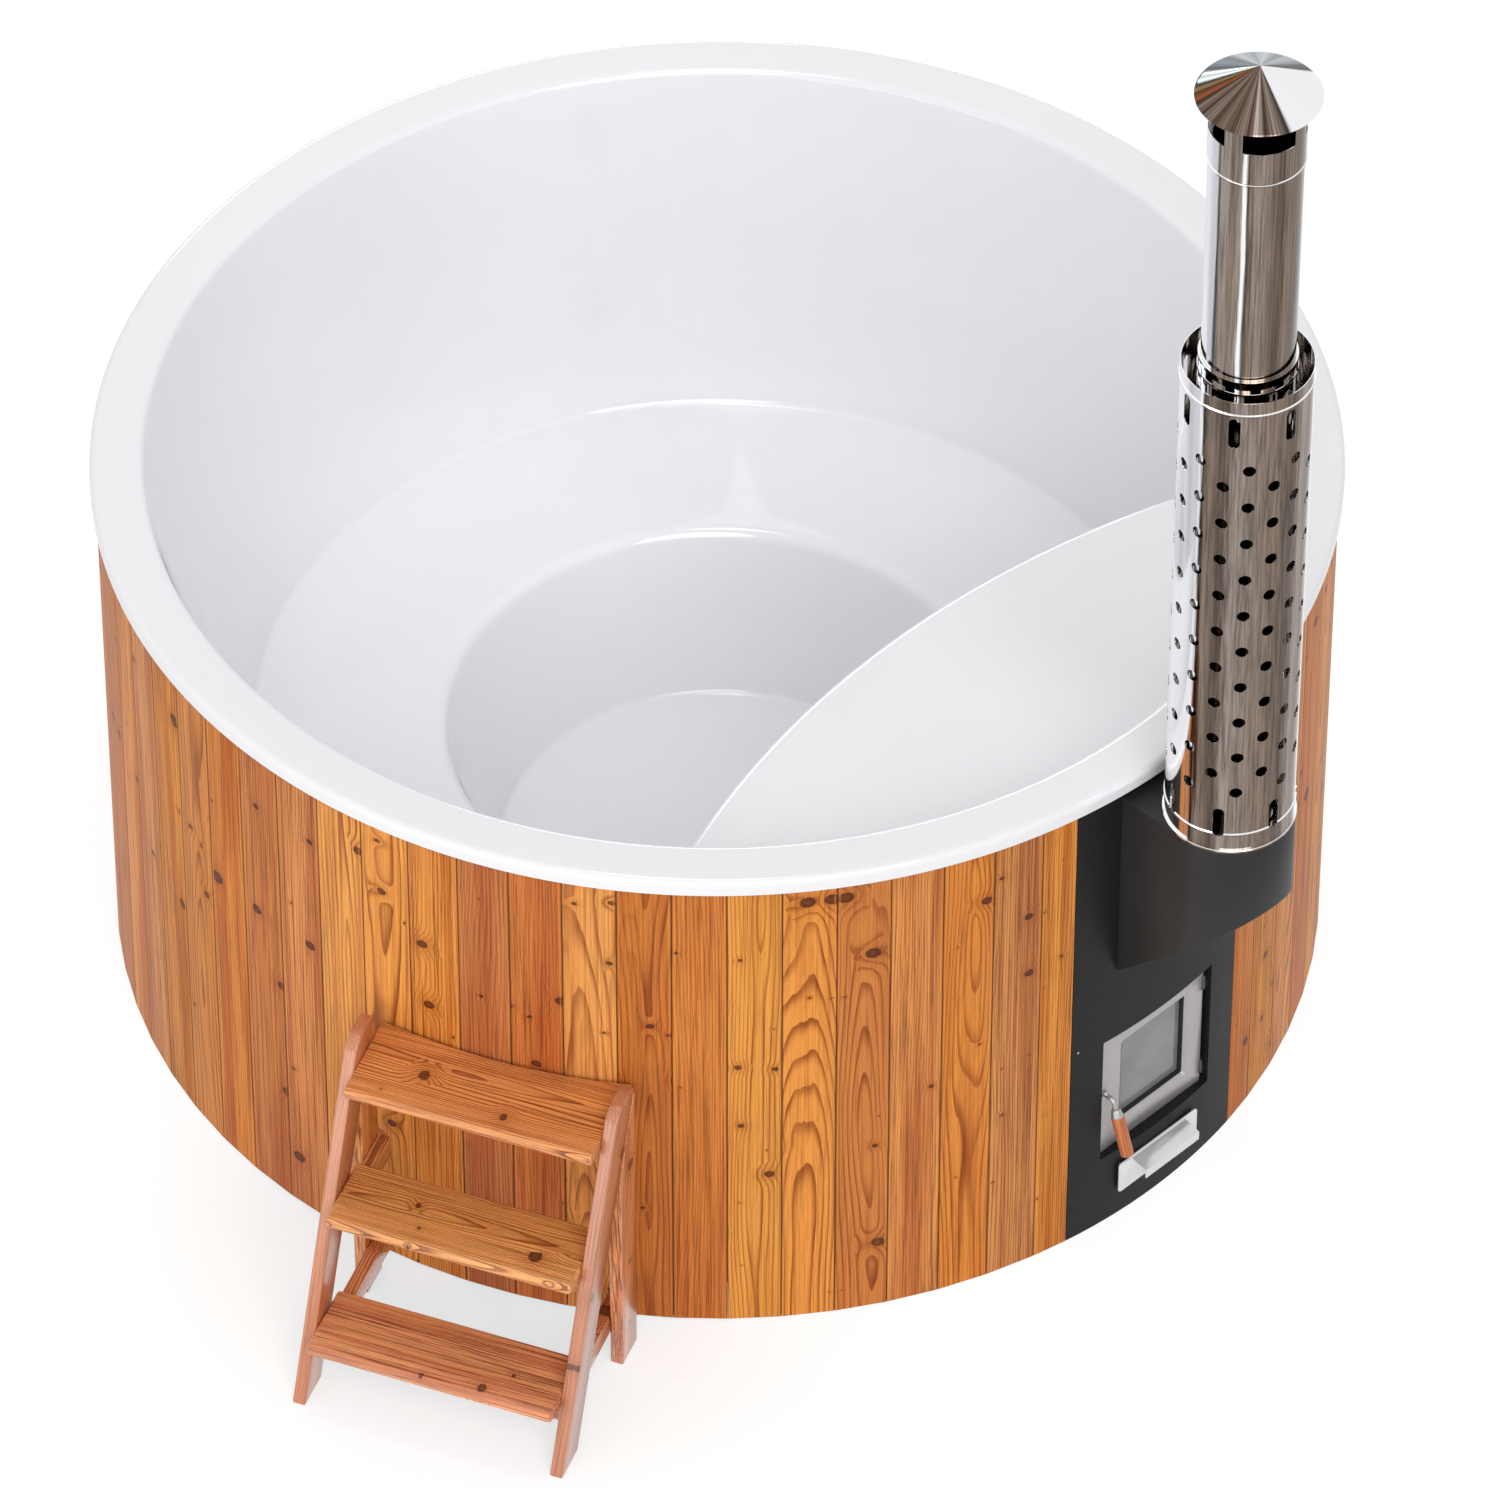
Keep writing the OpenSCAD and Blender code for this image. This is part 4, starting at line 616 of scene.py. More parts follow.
def new_piece(name, mesh, material, body, slot, *nodes):
    """A finished mesh at the origin that rides on a body and stands for its nodes."""
    piece = bpy.data.objects.new(name, mesh)
    SCENE.collection.objects.link(piece)
    if material is not None:
        mesh.materials.clear()
        mesh.materials.append(material)
    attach(piece, body)
    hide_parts(*nodes)
    return piece


def mesh_of(shape):
    """A mesh from a bmesh, with its faces turned outwards."""
    bmesh.ops.recalc_face_normals(shape, faces=shape.faces)
    mesh = bpy.data.meshes.new("shape")
    shape.to_mesh(mesh)
    shape.free()
    return mesh


def smooth(mesh, degrees=32.0):
    """Smooth shading, but sharp over edges that turn more than this."""
    mesh.shade_smooth()
    mesh.set_sharp_from_angle(angle=math.radians(degrees))
    return mesh


def turned(outline, steps=160, closed=True, centre=FLUE_AXIS, start=0.0, sweep=360.0):
    """A solid turned from an outline of (radius, height) round an upright axis."""
    whole = sweep >= 360
    count = steps if whole else steps + 1
    verts, rows, faces = [], [], []
    for radius, height in outline:
        if radius < 1e-7:
            rows.append([len(verts)] * count)
            verts.append((centre[0], centre[1], height))
            continue
        rows.append(list(range(len(verts), len(verts) + count)))
        for i in range(count):
            angle = math.radians(start + sweep * i / steps)
            verts.append((centre[0] + radius * math.cos(angle), centre[1] + radius * math.sin(angle), height))
    for low, high in zip(rows, rows[1:] + (rows[:1] if closed else [])):
        for i in range(steps):
            j = (i + 1) % count
            corners = list(dict.fromkeys([low[i], low[j], high[j], high[i]]))
            if len(corners) > 2:
                faces.append(corners)
    if not whole:
        faces.append([row[0] for row in rows])
        faces.append([row[-1] for row in reversed(rows)])
    mesh = bpy.data.meshes.new("turned")
    mesh.from_pydata(verts, [], faces)
    shape = bmesh.new()
    shape.from_mesh(mesh)
    bmesh.ops.remove_doubles(shape, verts=shape.verts, dist=1e-7)
    bpy.data.meshes.remove(mesh)
    return mesh_of(shape)


def worked(mesh, *steps):
    """The mesh after its modifiers: each step is (kind, settings), or (tree, inputs) for a node tree."""
    holder = bpy.data.objects.new("holder", mesh)
    SCENE.collection.objects.link(holder)
    for kind, settings in steps:
        if isinstance(kind, bpy.types.NodeTree):
            modifier = holder.modifiers.new("nodes", "NODES")
            modifier.node_group = kind
            for item in kind.interface.items_tree:
                if item.in_out == "INPUT" and item.name in settings:
                    modifier[item.identifier] = settings[item.name]
        else:
            modifier = holder.modifiers.new(kind.lower(), kind)
            for key, value in settings.items():
                setattr(modifier, key, value)
    ready = holder.evaluated_get(bpy.context.evaluated_depsgraph_get())
    result = bpy.data.meshes.new_from_object(ready)
    bpy.data.objects.remove(holder)
    return result


def cut_from(mesh, *tools):
    """The mesh less each tool, cut exactly."""
    for tool in tools:
        other = bpy.data.objects.new("tool", tool)
        SCENE.collection.objects.link(other)
        mesh = worked(mesh, ("BOOLEAN", {"operation": "DIFFERENCE", "solver": "MANIFOLD", "object": other}))
        bpy.data.objects.remove(other)
    return mesh


def clean_shape(node):
    """A CAD node's shape with its doubles merged and its flat faces made whole."""
    shape = bmesh.new()
    shape.from_mesh(frame["nodes"][node].data)
    bmesh.ops.remove_doubles(shape, verts=shape.verts, dist=2e-5)
    bmesh.ops.dissolve_limit(shape, angle_limit=math.radians(0.4), verts=shape.verts, edges=shape.edges)
    return shape


def eased(mesh, width, segments):
    """The mesh with its sharp edges rounded to that width."""
    if width:
        mesh = worked(mesh, ("BEVEL", {"width": width, "segments": segments, "limit_method": "ANGLE",
                                       "angle_limit": math.radians(38), "miter_outer": "MITER_ARC"}))
    return smooth(mesh)


def loose_boards(mesh):
    """For each corner of the mesh, the lowest number among the corners that it hangs together with."""
    group = np.arange(len(mesh.vertices))
    ends = np.zeros(len(mesh.edges) * 2, dtype=int)
    mesh.edges.foreach_get("vertices", ends)
    ends = ends.reshape(-1, 2)
    while True:
        low = np.minimum(group[ends[:, 0]], group[ends[:, 1]])
        before = group.copy()
        np.minimum.at(group, ends[:, 0], low)
        np.minimum.at(group, ends[:, 1], low)
        if (before == group).all():
            return group


def board_frames(mesh, seed):
    """Stores each loose board's own place, across, deep and along it, and its random pick."""
    dice = np.random.default_rng(seed)
    count = len(mesh.vertices)
    places = np.zeros(count * 3)
    mesh.vertices.foreach_get("co", places)
    places = places.reshape(-1, 3)
    group = loose_boards(mesh)
    board, pick = np.zeros((count, 3)), np.zeros(count)
    for one in np.unique(group):
        mine = group == one
        middle = (places[mine].min(0) + places[mine].max(0)) / 2
        axes = np.linalg.eigh(np.cov((places[mine] - middle).T))[1]
        board[mine] = (places[mine] - middle) @ axes[:, [1, 0, 2]]
        pick[mine] = dice.random()
    mesh.attributes.new("board", "FLOAT_VECTOR", "POINT").data.foreach_set("vector", board.ravel())
    mesh.attributes.new("pick", "FLOAT", "POINT").data.foreach_set("value", pick)
    return mesh


def walls_true(mesh):
    """Gives the upright walls of a sheet turned round the flue the normals of a true circle."""
    normals = [Vector(corner.vector) for corner in mesh.corner_normals]
    for face in mesh.polygons:
        if abs(face.normal.z) > 0.02:
            continue
        for corner in face.loop_indices:
            spot = mesh.vertices[mesh.loops[corner].vertex_index].co
            out = Vector((spot.x - FLUE_AXIS[0], spot.y - FLUE_AXIS[1], 0.0)).normalized()
            if abs(face.normal.dot(out)) > 0.985:
                normals[corner] = out if face.normal.dot(out) > 0 else -out
    mesh.normals_split_custom_set(normals)
    return mesh


# ---- Geometry Nodes: staves round the tub, and windows round the chimney ----

def extruded(w, outline, start, end):
    """A closed outline drawn along a straight line, with its ends filled."""
    line = w.add("GeometryNodeCurvePrimitiveLine", {"Start": start, "End": end}).outputs[0]
    return w.add("GeometryNodeCurveToMesh", {"Curve": line, "Profile Curve": outline,
                                             "Fill Caps": True}).outputs[0]


def rounded(w, outline, count, radius):
    return w.add("GeometryNodeFilletCurve", {"Curve": outline, "Count": count, "Radius": radius},
                 mode="POLY").outputs[0]


def on_circle(w, radius, angle, height=0.0):
    """The place at an angle round Z from -Y."""
    return w.join(w.product(radius, w.calc("SINE", angle)), w.product(radius, w.calc("COSINE", angle), -1.0),
                  height)


def half_width(w, given, half_angle, depth):
    """Half a stave's width, that far in from its face, with the gap to the next one left out."""
    reach = w.calc("SUBTRACT", w.product(given["Radius"], w.calc("COSINE", half_angle)), depth)
    return w.calc("SUBTRACT", w.product(reach, w.calc("TANGENT", half_angle)), w.product(given["Gap"], 0.5))


def upright_stave(w, given, half_pitch):
    """One full stave, its face on the XZ plane, that keeps each point's own place as its board place."""
    face = w.product(half_width(w, given, half_pitch, 0.0), 2.0)
    back = w.product(half_width(w, given, half_pitch, given["Thickness"]), 2.0)
    section = w.add("GeometryNodeCurvePrimitiveQuadrilateral", {
        "Height": given["Thickness"], "Offset": 0.0, "Bottom Width": face, "Top Width": back},
        mode="TRAPEZOID").outputs[0]
    section = w.add("GeometryNodeTransform", {
        "Geometry": section, "Translation": w.join(0.0, w.product(given["Thickness"], 0.5))}).outputs[0]
    section = rounded(w, section, 4, given["Rounding"])
    stave = extruded(w, section, w.join(0.0, 0.0, given["Foot"]), w.join(0.0, 0.0, given["Top"]))
    return w.add("GeometryNodeStoreNamedAttribute", {
        "Geometry": stave, "Name": "board", "Value": w.add("GeometryNodeInputPosition").outputs[0]},
        data_type="FLOAT_VECTOR", domain="POINT").outputs[0]


def make_stave_ring():
    """Staves that stand round a circle, from one side of the stove's panel to the other. The first
    and the last are narrower."""
    w, given, result = new_tree("stave_ring", "GeometryNodeTree", {
        "Count": ("count", 1), "Radius": ("value", 1.0), "Pitch": ("value", 0.1), "Edge": ("value", 0.1),
        "Panel": ("value", 0.1), "Gap": ("value", 0.0), "Thickness": ("value", 0.02),
        "Foot": ("value", 0.0), "Top": ("value", 1.0), "Rounding": ("value", 0.001), "Seed": ("count", 0),
        "Finish": ("finish", None), "Drain": ("place", (0, 0, 0)), "Drain radius": ("value", 0.02),
    }, {"Geometry": "shape"})
    half_pitch = w.product(given["Pitch"], 0.5)
    half_edge = w.product(given["Edge"], 0.5)

    # Where each stave stands: its half angle, and its angle round from the stove
    number = w.add("GeometryNodeInputIndex").outputs[0]
    first = w.calc("COMPARE", number, 0.0, 0.5)
    last = w.calc("COMPARE", number, w.total(given["Count"], 1.0), 0.5)
    half = w.total(half_pitch, w.product(w.total(first, last), w.calc("SUBTRACT", half_edge, half_pitch)))
    angle = w.total(given["Panel"], given["Edge"],
                    w.product(w.calc("SUBTRACT", number, 0.5), given["Pitch"]),
                    w.product(w.calc("SUBTRACT", first, last), w.calc("SUBTRACT", half_pitch, half_edge)))
    stand = on_circle(w, w.product(given["Radius"], w.calc("COSINE", half)), angle)
    points = w.add("GeometryNodePoints", {"Count": w.total(given["Count"], 2.0), "Position": stand})
    narrower = w.calc("DIVIDE", half_width(w, given, half, 0.0), half_width(w, given, half_pitch, 0.0))
    ring = w.add("GeometryNodeInstanceOnPoints", {
        "Points": points.outputs[0], "Instance": upright_stave(w, given, half_pitch),
        "Rotation": w.join(0.0, 0.0, angle), "Scale": w.join(narrower, 1.0, 1.0)})
    dice = w.add("FunctionNodeRandomValue", {"ID": number, "Seed": given["Seed"]}, data_type="FLOAT")
    ring = w.add("GeometryNodeStoreNamedAttribute", {
        "Geometry": ring.outputs[0], "Name": "pick", "Value": dice.outputs[1]},
        data_type="FLOAT", domain="INSTANCE")
    ring = w.add("GeometryNodeRealizeInstances", {0: ring.outputs[0]})

    # The drain pipe's hole, bored along X through the staves that it meets
    hole = w.add("GeometryNodeMeshCylinder", {"Vertices": 48, "Radius": given["Drain radius"], "Depth": 0.2})
    hole = w.add("GeometryNodeTransform", {"Geometry": hole.outputs[0], "Translation": given["Drain"],
                                           "Rotation": (0.0, math.pi / 2, 0.0)})
    ring = w.add("GeometryNodeMeshBoolean", {"Mesh 1": ring.outputs[0], "Mesh 2": hole.outputs[0]},
                 operation="DIFFERENCE", solver="MANIFOLD")
    ring = w.add("GeometryNodeSetMaterial", {"Geometry": ring.outputs[0], "Material": given["Finish"]})
    w.set(result[0], ring.outputs[0])
    return w.tree


def make_windows():
    """Rows of round or square-cornered windows cut through a sheet round an upright axis. With Stagger
    at 1, every other column sits half a row lower and has one window less."""
    w, given, result = new_tree("windows_round_a_flue", "GeometryNodeTree", {
        "Geometry": ("shape", None), "Columns": ("count", 1), "Rows": ("count", 1),
        "Radius": ("value", 0.1), "Axis": ("place", (0, 0, 0)), "Turn": ("value", 0.0),
        "Top row": ("value", 1.0), "Row pitch": ("value", 0.1), "Width": ("value", 0.02),
        "Height": ("value", 0.02), "Corner": ("value", 0.001), "Depth": ("value", 0.02),
        "Stagger": ("value", 0.0), "Finish": ("finish", None)}, {"Geometry": "shape"})
    outline = w.add("GeometryNodeCurvePrimitiveQuadrilateral", {
        "Width": given["Width"], "Height": given["Height"]}, mode="RECTANGLE").outputs[0]
    half = w.product(given["Depth"], 0.5)
    punch = extruded(w, rounded(w, outline, 6, given["Corner"]),
                     w.join(0.0, 0.0, w.product(half, -1.0)), w.join(0.0, 0.0, half))

    number = w.add("GeometryNodeInputIndex").outputs[0]
    column = w.calc("FLOOR", w.calc("DIVIDE", w.total(number, 0.5), given["Rows"]))
    row = w.calc("SUBTRACT", number, w.product(column, given["Rows"]))
    odd = w.product(w.calc("MODULO", column, 2.0), given["Stagger"])
    angle = w.total(given["Turn"], w.product(column, w.calc("DIVIDE", 2 * math.pi, given["Columns"])))
    drop = w.product(w.total(row, w.product(odd, 0.5)), given["Row pitch"])
    spot = on_circle(w, given["Radius"], angle, w.calc("SUBTRACT", given["Top row"], drop))
    points = w.add("GeometryNodePoints", {"Count": w.product(given["Columns"], given["Rows"]),
                                          "Position": w.shift(spot, given["Axis"])})
    last_row = w.calc("COMPARE", row, w.calc("SUBTRACT", given["Rows"], 1.0), 0.5)
    punches = w.add("GeometryNodeInstanceOnPoints", {
        "Points": points.outputs[0], "Selection": w.calc("LESS_THAN", w.product(odd, last_row), 0.5),
        "Instance": punch, "Rotation": w.join(math.pi / 2, 0.0, angle)})
    punches = w.add("GeometryNodeRealizeInstances", {0: punches.outputs[0]})
    sheet = w.add("GeometryNodeMeshBoolean", {"Mesh 1": given["Geometry"], "Mesh 2": punches.outputs[0]},
                  operation="DIFFERENCE", solver="MANIFOLD")
    sheet = w.add("GeometryNodeSetMaterial", {"Geometry": sheet.outputs[0], "Material": given["Finish"]})
    w.set(result[0], sheet.outputs[0])
    return w.tree


STAVE_RING = make_stave_ring()
WINDOWS = make_windows()


# ---- Tub ----

def crossing(p, along_p, q, along_q):
    """The point where two lines of the section meet."""
    away = q - p
    turn = (away[0] * along_q[1] - away[1] * along_q[0]) / (along_p[0] * along_q[1] - along_p[1] * along_q[0])
    return p + along_p * turn


def corner_arc(a, b, c, radius, steps):
    """Points of an arc that rounds the corner b between a and c."""
    a, b, c = (np.asarray(p, float) for p in (a, b, c))
    u, v = (a - b) / np.linalg.norm(a - b), (c - b) / np.linalg.norm(c - b)
    half = math.acos(np.clip(u @ v, -1, 1)) / 2
    middle = b + (u + v) / np.linalg.norm(u + v) * radius / math.sin(half)
    first, last = (b + d * radius / math.tan(half) - middle for d in (u, v))
    start = math.atan2(first[1], first[0])
    turn = (math.atan2(last[1], last[0]) - start + math.pi) % (2 * math.pi) - math.pi
    angles = [start + turn * i / steps for i in range(steps + 1)]
    return [middle + radius * np.array([math.cos(angle), math.sin(angle)]) for angle in angles]


def stepped(points, step):
    """The outline with its long straight runs cut into shorter ones."""
    result = [points[0]]
    for here, there in zip(points, points[1:]):
        here, there = np.asarray(here, float), np.asarray(there, float)
        count = max(1, round(float(np.linalg.norm(there - here)) / step))
        result += [here + (there - here) * i / count for i in range(1, count + 1)]
    return result


BENCH_R = RIM_IN_R - (TUB_TOP - BENCH_Z) * math.tan(BACK_LEAN)
LEDGE_R = BENCH_R - BENCH_W
FOOT_R = LEDGE_R - (LEDGE_Z - FLOOR_Z) * math.tan(FOOT_LEAN)
BULKHEAD = LEDGE_R - BULKHEAD_IN

# The shell's section as (radius, height), its rounds, and which way each corner bends
SHELL_FACE = [np.array(p) for p in (
    (0.0, FLOOR_Z), (FOOT_R, FLOOR_Z), (LEDGE_R, LEDGE_Z), (BENCH_R, BENCH_Z), (RIM_IN_R, TUB_TOP),
    (RIM_R, TUB_TOP), (RIM_R, SKIRT_Z))]
SHELL_ROUNDS = (0.0, 0.014, 0.025, 0.014, 0.014, 0.012)
SHELL_TURNS = (0, 1, -1, 1, -1, -1)


def shell_corner(number, inset):
    """A corner of the shell's section, before rounding, moved inset into the wall."""
    if number == 0:
        return np.array([0.0, FLOOR_Z - inset])
    if number == 6:
        return np.array([RIM_R - inset, SKIRT_Z])

    def edge(i):
        along = SHELL_FACE[i + 1] - SHELL_FACE[i]
        unit = along / np.linalg.norm(along)
        return SHELL_FACE[i] + inset * np.array([unit[1], -unit[0]]), along

    return crossing(*edge(number - 1), *edge(number))


def shell_outline(inset, last, steps):
    """The shell's section from the middle of its floor, through its rounded corners up to the last."""
    points = [shell_corner(0, inset)]
    for i in range(1, last + 1):
        points += corner_arc(shell_corner(i - 1, inset), shell_corner(i, inset), shell_corner(i + 1, inset),
                             SHELL_ROUNDS[i] + SHELL_TURNS[i] * inset, steps)
    return points


def stove_bay(inset):
    """Everything under the deck and in front of the wall that the stove stands behind."""
    foot, back, half_sweep = -0.02, 0.55, 52.0
    radius, top = DECK_ARC_R - inset, DECK_Z - inset
    edge = corner_arc((radius, 0.0), (radius, top), (0.0, top), DECK_EDGE_R - inset, 8)
    outline = stepped([(radius, foot)] + edge + [(back, top)], 0.06) + [(0.0, top), (0.0, foot)]
    return turned(outline, 150, centre=(0.0, -BULKHEAD - DECK_ARC_R), start=90.0 - half_sweep,
                  sweep=2 * half_sweep)


def tub_shell():
    """The shell's outside less its hollow, with the stove's bay standing up into it."""
    tub_axis, over = (0.0, 0.0), TUB_TOP + 0.01
    outside = shell_outline(SHELL_T, 5, 6) + [shell_corner(6, SHELL_T), shell_corner(6, 0.0)]
    outside += list(reversed(corner_arc(shell_corner(4, 0.0), shell_corner(5, 0.0), shell_corner(6, 0.0),
                                        SHELL_ROUNDS[5], 8)))
    outside = stepped(outside, 0.05) + [np.array([0.0, TUB_TOP])]
    inside = stepped(shell_outline(0.0, 4, 14), 0.03)
    inside += [np.array([inside[-1][0], over]), np.array([0.0, over])]
    body = turned(outside, 240, closed=False, centre=tub_axis)
    hollow = turned(inside, 240, closed=False, centre=tub_axis)
    return smooth(cut_from(body, stove_bay(SHELL_T), cut_from(hollow, stove_bay(0.0))), 28.0)


new_piece("tub_shell", tub_shell(), FINISHES["acrylic"], "tub", "acrylic", "acrylic_shell")

staves = worked(bpy.data.meshes.new("empty"), (STAVE_RING, {
    "Count": STAVE_COUNT, "Radius": STAVE_R, "Pitch": math.radians(STAVE_PITCH),
    "Edge": math.radians(EDGE_DEG), "Panel": math.radians(PANEL_HALF), "Gap": SEAM_GAP,
    "Thickness": STAVE_T, "Foot": STAVE_FOOT, "Top": STAVE_TOP, "Rounding": SEAM_ROUND, "Seed": 11,
    "Finish": FINISHES["cladding"], "Drain": (1.0, DRAIN_Y, DRAIN_Z), "Drain radius": DRAIN_HOLE_R}))
new_piece("stave_cladding", smooth(staves), None, "tub", "cladding", "staves_front_right", "staves_right",
          "staves_back_right", "staves_back_left", "staves_left", "staves_front_left")


# ---- Chimney ----

def bead(radius, height, proud, half_height=0.003, steps=6):
    """Half-round bead on a wall that runs up."""
    angles = [math.pi * i / steps for i in range(steps + 1)]
    return [(radius + proud * math.sin(angle), height - half_height * math.cos(angle)) for angle in angles]


def pierced(outline, material, *rows, steps=160):
    """A turned sheet with its rows of windows; each row is a set of the window tree's inputs."""
    steps_of_work = [(WINDOWS, dict(row, Axis=FLUE_AXIS, Finish=material)) for row in rows]
    return walls_true(smooth(worked(turned(outline, steps), *steps_of_work)))


def pierced_sleeve():
    """Beaded sleeve with staggered round holes between two rows of long slots."""
    outline = ([(SLEEVE_R, SLEEVE_Z)] + bead(SLEEVE_R, LOW_BEAD, 0.002) + bead(SLEEVE_R, TOP_BEAD, 0.002)
               + [(SLEEVE_R, SLEEVE_TOP), (SLEEVE_IN_R, SLEEVE_TOP), (SLEEVE_IN_R, SLEEVE_Z)])
    vents = {"Columns": VENT_COLUMNS, "Rows": VENT_ROWS, "Radius": SLEEVE_R, "Turn": math.radians(-43.3),
             "Top row": FIRST_VENT, "Row pitch": VENT_PITCH, "Width": VENT_D, "Height": VENT_D,
             "Corner": VENT_D / 2 - 0.00005, "Depth": 0.024, "Stagger": 1.0}
    slots = {"Columns": SLOT_COUNT, "Radius": SLEEVE_R, "Turn": math.radians(-57.5), "Width": SLOT_W,
             "Height": SLOT_H, "Corner": SLOT_W / 2 - 0.00005, "Depth": 0.024}
    return pierced(outline, SLEEVE_STEEL, vents, {"Top row": TOP_SLOT, **slots},
                   {"Top row": LOW_SLOT, **slots}, steps=180)


def flue_tube():
    inside = FLUE_R - FLUE_WALL
    outline = [(FLUE_R, FLUE_FOOT), (FLUE_R, FLUE_TOP), (inside, FLUE_TOP), (inside, FLUE_FOOT)]
    return walls_true(smooth(turned(outline)))


def foot_ring():
    """Flat ring under the sleeve, with a lip that stands inside it."""
    inner, lip_r, ease = FLUE_R + 0.0025, SLEEVE_IN_R - 0.0002, 0.0008
    return smooth(turned([
        (RING_R - ease, RING_FOOT), (RING_R, RING_FOOT + ease), (RING_R, SLEEVE_Z - ease),
        (RING_R - ease, SLEEVE_Z), (lip_r, SLEEVE_Z), (lip_r, RING_LIP_TOP), (RING_LIP_IN_R, RING_LIP_TOP),
        (RING_LIP_IN_R, SLEEVE_Z), (inner, SLEEVE_Z), (inner, RING_FOOT)]))


def vent_collar():
    """Beaded collar on the flue with a short and a long row of windows."""
    inner = FLUE_R + 0.0002
    windows = {"Columns": 12, "Radius": COLLAR_R, "Turn": math.radians(7), "Width": 0.024}
    return pierced(
        [(COLLAR_R, COLLAR_FOOT)] + bead(COLLAR_R, COLLAR_BEAD, 0.0012)
        + [(COLLAR_R, COLLAR_TOP), (inner, COLLAR_TOP), (inner, COLLAR_FOOT)], FINISHES["mirror_steel"],
        {"Top row": COLLAR_BEAD + 0.01225, "Height": 0.0195, **windows},
        {"Top row": COLLAR_BEAD - 0.015, "Height": 0.022, **windows})


def cap_collar():
    """Collar that drops over the flue, stops on its seat and opens in four windows under the cone."""
    top = CONE_FOOT + (CONE_R - CAP_R) * CONE_RISE / CONE_R - 0.0022
    seat = FLUE_TOP + 0.0002
    windows = {"Columns": 4, "Radius": CAP_R - 0.006, "Turn": math.radians(-32), "Top row": CAP_WINDOW_Z,
               "Width": 2 * CAP_R * math.sin(math.radians(33)), "Height": 0.044, "Depth": 0.036}
    return pierced(
        bead(CAP_R, CAP_FOOT + 0.0025, 0.0014, 0.0025)
        + [(CAP_R, top), (CAP_IN_R, top), (CAP_IN_R, CAP_SEAT_TOP), (CAP_SEAT_R, CAP_SEAT_TOP),
           (CAP_SEAT_R, seat), (CAP_IN_R, seat), (CAP_IN_R, CAP_FOOT)], FINISHES["mirror_steel"], windows)


def cap_cone():
    """Thin cone with a blunt tip and a rolled hem."""
    slope = [(CONE_R * i / 24, CONE_TOP - CONE_RISE * i / 24) for i in range(1, 24)]
    hem = [(CONE_R - 0.0004, CONE_FOOT + 0.0002), (CONE_R, CONE_FOOT - 0.0003),
           (CONE_R, CONE_FOOT - 0.0016), (CONE_R - 0.0006, CONE_FOOT - 0.0018),
           (CONE_R - 0.003, CONE_FOOT - 0.0002)]
    tip, inner_tip = [(0.0, CONE_TOP), (0.0008, CONE_TOP - 0.0003)], [(0.0, CONE_TOP - 0.0018)]
    return smooth(turned(tip + slope + hem + inner_tip, 180, closed=False), 30.0)


new_piece("pierced_sleeve", pierced_sleeve(), None, "tub", "mirror_steel", "chimney_sleeve")
new_piece("flue_tube", flue_tube(), FINISHES["mirror_steel"], "tub", "mirror_steel", "flue_pipe")
new_piece("foot_ring", foot_ring(), SLEEVE_STEEL, "tub", "mirror_steel", "sleeve_base_ring")
new_piece("vent_collar", vent_collar(), None, "tub", "mirror_steel", "flue_vent_collar")
new_piece("cap_collar_dressed", cap_collar(), None, "chimney_cap", "mirror_steel", "cap_collar")
new_piece("cap_cone_dressed", cap_cone(), CONE_STEEL, "chimney_cap", "mirror_steel", "cap_cone")


# ---- Pieces that keep their CAD shape, with their edges eased ----

BODY_OF = {node: body for body, nodes in frame["record"]["behaviour"]["bodies"].items() for node in nodes}


def keep_shape(node, mesh, look=None):
    """Stands a mesh for one CAD node, in its slot's finish or in a look of its own."""
    slot = SLOT_OF[node]
    new_piece(node + "_eased", mesh, look or FINISHES[slot], BODY_OF[node], slot, node)


# Node: the width of its rounded edges
EASED = {
    "chimney_housing": 0.0007, "stove_panel": 0.0, "door_surround": 0.0, "door_frame": 0.0007,
    "ash_drawer_front": 0.0006, "ash_tray": 0.0, "handle_rod": 0.0, "handle_ferrule": 0.0004,
    "panel_screw": 0.0003, "flue_elbow": 0.0, "drain_pipe": 0.0, "drain_valve_body": 0.0,
    "drain_valve_lever": 0.0008, "drain_strainer": 0.0, "glass_seal": 0.0, "door_seal": 0.003,
    "water_port_upper": 0.0, "water_port_lower": 0.0, "stove_feet": 0.001, "fire_grate": 0.001,
}
OWN_LOOK = {"ash_drawer_front": LIP_STEEL, "chimney_housing": HOUSING_STEEL}
for node, width in EASED.items():
    segments = 4 if node == "door_seal" else 2
    keep_shape(node, eased(mesh_of(clean_shape(node)), width, segments), OWN_LOOK.get(node))


# ---- Boards ----

def scribed_tread(node, gap=0.004, reach=0.05):
    """A tread drawn back towards the tub and cut to the curve of its staves, a little way off them."""
    low, high = 0.3, 0.7
    shape = clean_shape(node)
    middle = sum((v.co for v in shape.verts), Vector()) / len(shape.verts)
    out = Vector((middle.x, middle.y, 0.0))
    back = max(shape.faces, key=lambda f: -f.normal.dot(out) * f.calc_area())
    for v in set(back.verts):
        v.co += back.normal * reach
    radius = STAVE_R + gap
    tub = turned([(0.0, low), (radius, low), (radius, high), (0.0, high)], 720, closed=False,
                 centre=(0.0, 0.0))
    return cut_from(mesh_of(shape), tub)


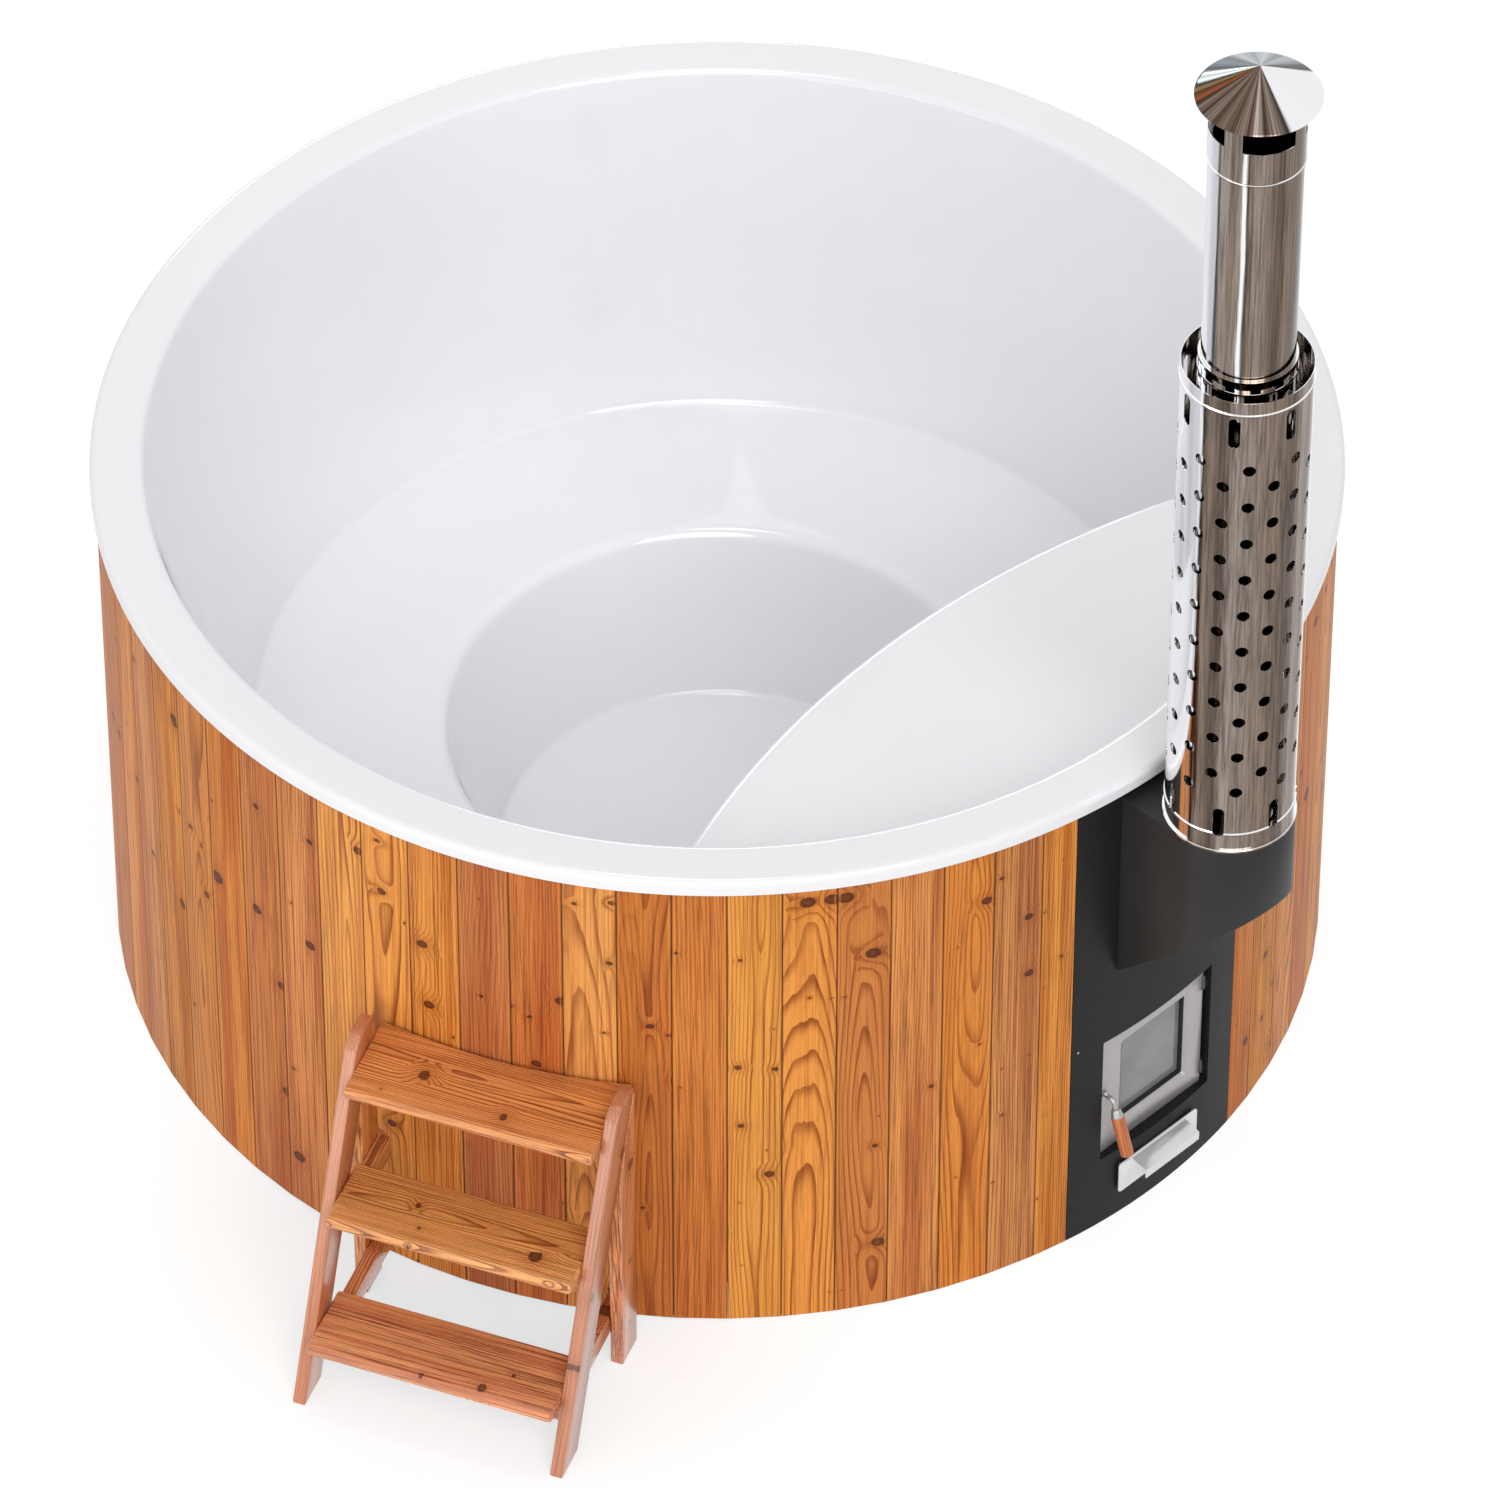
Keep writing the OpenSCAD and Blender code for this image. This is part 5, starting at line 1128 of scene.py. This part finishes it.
# Node: the width of its rounded edges
BOARDS = {
    "ladder_left_stringer": 0.0025, "ladder_right_stringer": 0.0025, "ladder_rear_legs": 0.0025,
    "ladder_bottom_tread": 0.006, "ladder_middle_tread": 0.006, "ladder_top_tread": 0.006,
    "ladder_cleats": 0.002, "base_board": 0.001, "base_joists": 0.002, "upper_ring": 0.001,
    "middle_ring": 0.001, "lower_ring": 0.001, "handle_grip": 0.0,
}
for seed, (node, width) in enumerate(BOARDS.items(), 5):
    mesh = scribed_tread(node) if node == "ladder_top_tread" else mesh_of(clean_shape(node))
    look = STRINGER_WOOD if "stringer" in node else None
    keep_shape(node, board_frames(eased(mesh, width, 3), seed), look)


# ---- Floor, world and lamps ----

def floor_finish():
    """White to the camera but for the ladder's soft shadow, which is partly painted shade, and plain white in
    reflections.
    """
    material = bpy.data.materials.new("pale_floor")
    material.use_nodes = True
    material.node_tree.nodes.clear()
    w = Wiring(material.node_tree)
    place = w.add("ShaderNodeTexCoord").outputs["Object"]
    away = w.add("ShaderNodeVectorMath", {0: place, 1: LADDER_SPOT}, operation="DISTANCE").outputs["Value"]
    # Round the ladder's spot the floor glows dimmer and cooler, and its diffuse part is stronger: painted
    # shade that the real shadow deepens. Far off it glows nearly white.
    far = w.spread(away, 0.30, 0.85)
    lit = w.mix(far, srgb(211, 180, 173), srgb(142, 145, 147))
    glow = w.mix(far, srgb(176, 204, 209), srgb(232, 232, 232))
    shown = w.add("ShaderNodeAddShader", enumerate([
        w.add("ShaderNodeBsdfDiffuse", {"Color": lit}).outputs[0],
        w.add("ShaderNodeEmission", {"Color": glow, "Strength": 1.0}).outputs[0]])).outputs[0]
    matt = w.add("ShaderNodeBsdfDiffuse", {"Color": srgb(230, 230, 230)}).outputs[0]
    white = w.add("ShaderNodeEmission", {"Color": (1, 1, 1, 1), "Strength": 1.0}).outputs[0]
    rays = w.add("ShaderNodeLightPath").outputs
    mirrored = w.calc("MAXIMUM", rays["Is Glossy Ray"], rays["Is Transmission Ray"])
    seen = w.add("ShaderNodeMixShader", {0: mirrored, 1: matt, 2: white}).outputs[0]
    seen = w.add("ShaderNodeMixShader", {0: rays["Is Camera Ray"], 1: seen, 2: shown}).outputs[0]
    w.add("ShaderNodeOutputMaterial", {"Surface": seen})
    return material


def floor():
    """A wide floor, just under the tub's feet."""
    mesh = bpy.data.meshes.new("floor")
    reach = 30.0
    mesh.from_pydata([(-reach, -reach, 0), (reach, -reach, 0), (reach, reach, 0), (-reach, reach, 0)], [],
                     [(0, 1, 2, 3)])
    mesh.materials.append(floor_finish())
    piece = bpy.data.objects.new("floor", mesh)
    SCENE.collection.objects.link(piece)
    piece.location.z = -0.0005


def white_world():
    """Soft light from all round, and plain white where the camera and reflections see it."""
    world = bpy.data.worlds.new("studio")
    SCENE.world = world
    world.use_nodes = True
    world.node_tree.nodes.clear()
    w = Wiring(world.node_tree)
    rays = w.add("ShaderNodeLightPath").outputs
    seen = w.calc("MAXIMUM", w.calc("MAXIMUM", rays["Is Camera Ray"], rays["Is Glossy Ray"]),
                  rays["Is Transmission Ray"])
    sky = w.add("ShaderNodeBackground", {"Color": (1, 1, 1, 1), "Strength": w.between(seen, 0.56, 1.0)})
    w.add("ShaderNodeOutputWorld", {"Surface": sky.outputs[0]})


def add_lamp(name, kind, energy, turn, place=(0.0, 0.0, 0.0), **settings):
    """A lamp whose back points along turn."""
    data = bpy.data.lights.new(name, kind)
    data.energy = energy
    for key, value in settings.items():
        setattr(data, key, value)
    lamp = bpy.data.objects.new(name, data)
    lamp.location = place
    lamp.rotation_euler = Vector(turn).to_track_quat("Z", "Y").to_euler()
    SCENE.collection.objects.link(lamp)
    return lamp


# Window lamps: watts, width, height, place, and the spot that they look at
WINDOW_LAMPS = {
    "low_window": (80.0, 4.5, 2.2, (-6.5, -1.2, 1.0), (-1.1, -0.45, 0.3)),
    "roof_light": (27.0, 1.2, 1.2, (0.0, 0.3, 6.0), (0.0, 0.0, 0.9)),
    "back_window": (85.0, 3.0, 1.5, (3.6, 5.3, 3.4), (0.0, 0.0, 0.9)),
}


def daylight():
    """A broad low sun from the front, and the window lamps, which the camera doesn't see."""
    white_world()
    add_lamp("front_window", "SUN", 1.35, (-0.42, -0.62, 0.66), angle=math.radians(40))
    for name, (watts, width, height, place, spot) in WINDOW_LAMPS.items():
        lamp = add_lamp(name, "AREA", watts, Vector(place) - Vector(spot), place,
                        shape="RECTANGLE", size=width, size_y=height)
        lamp.visible_camera = False


floor()
daylight()
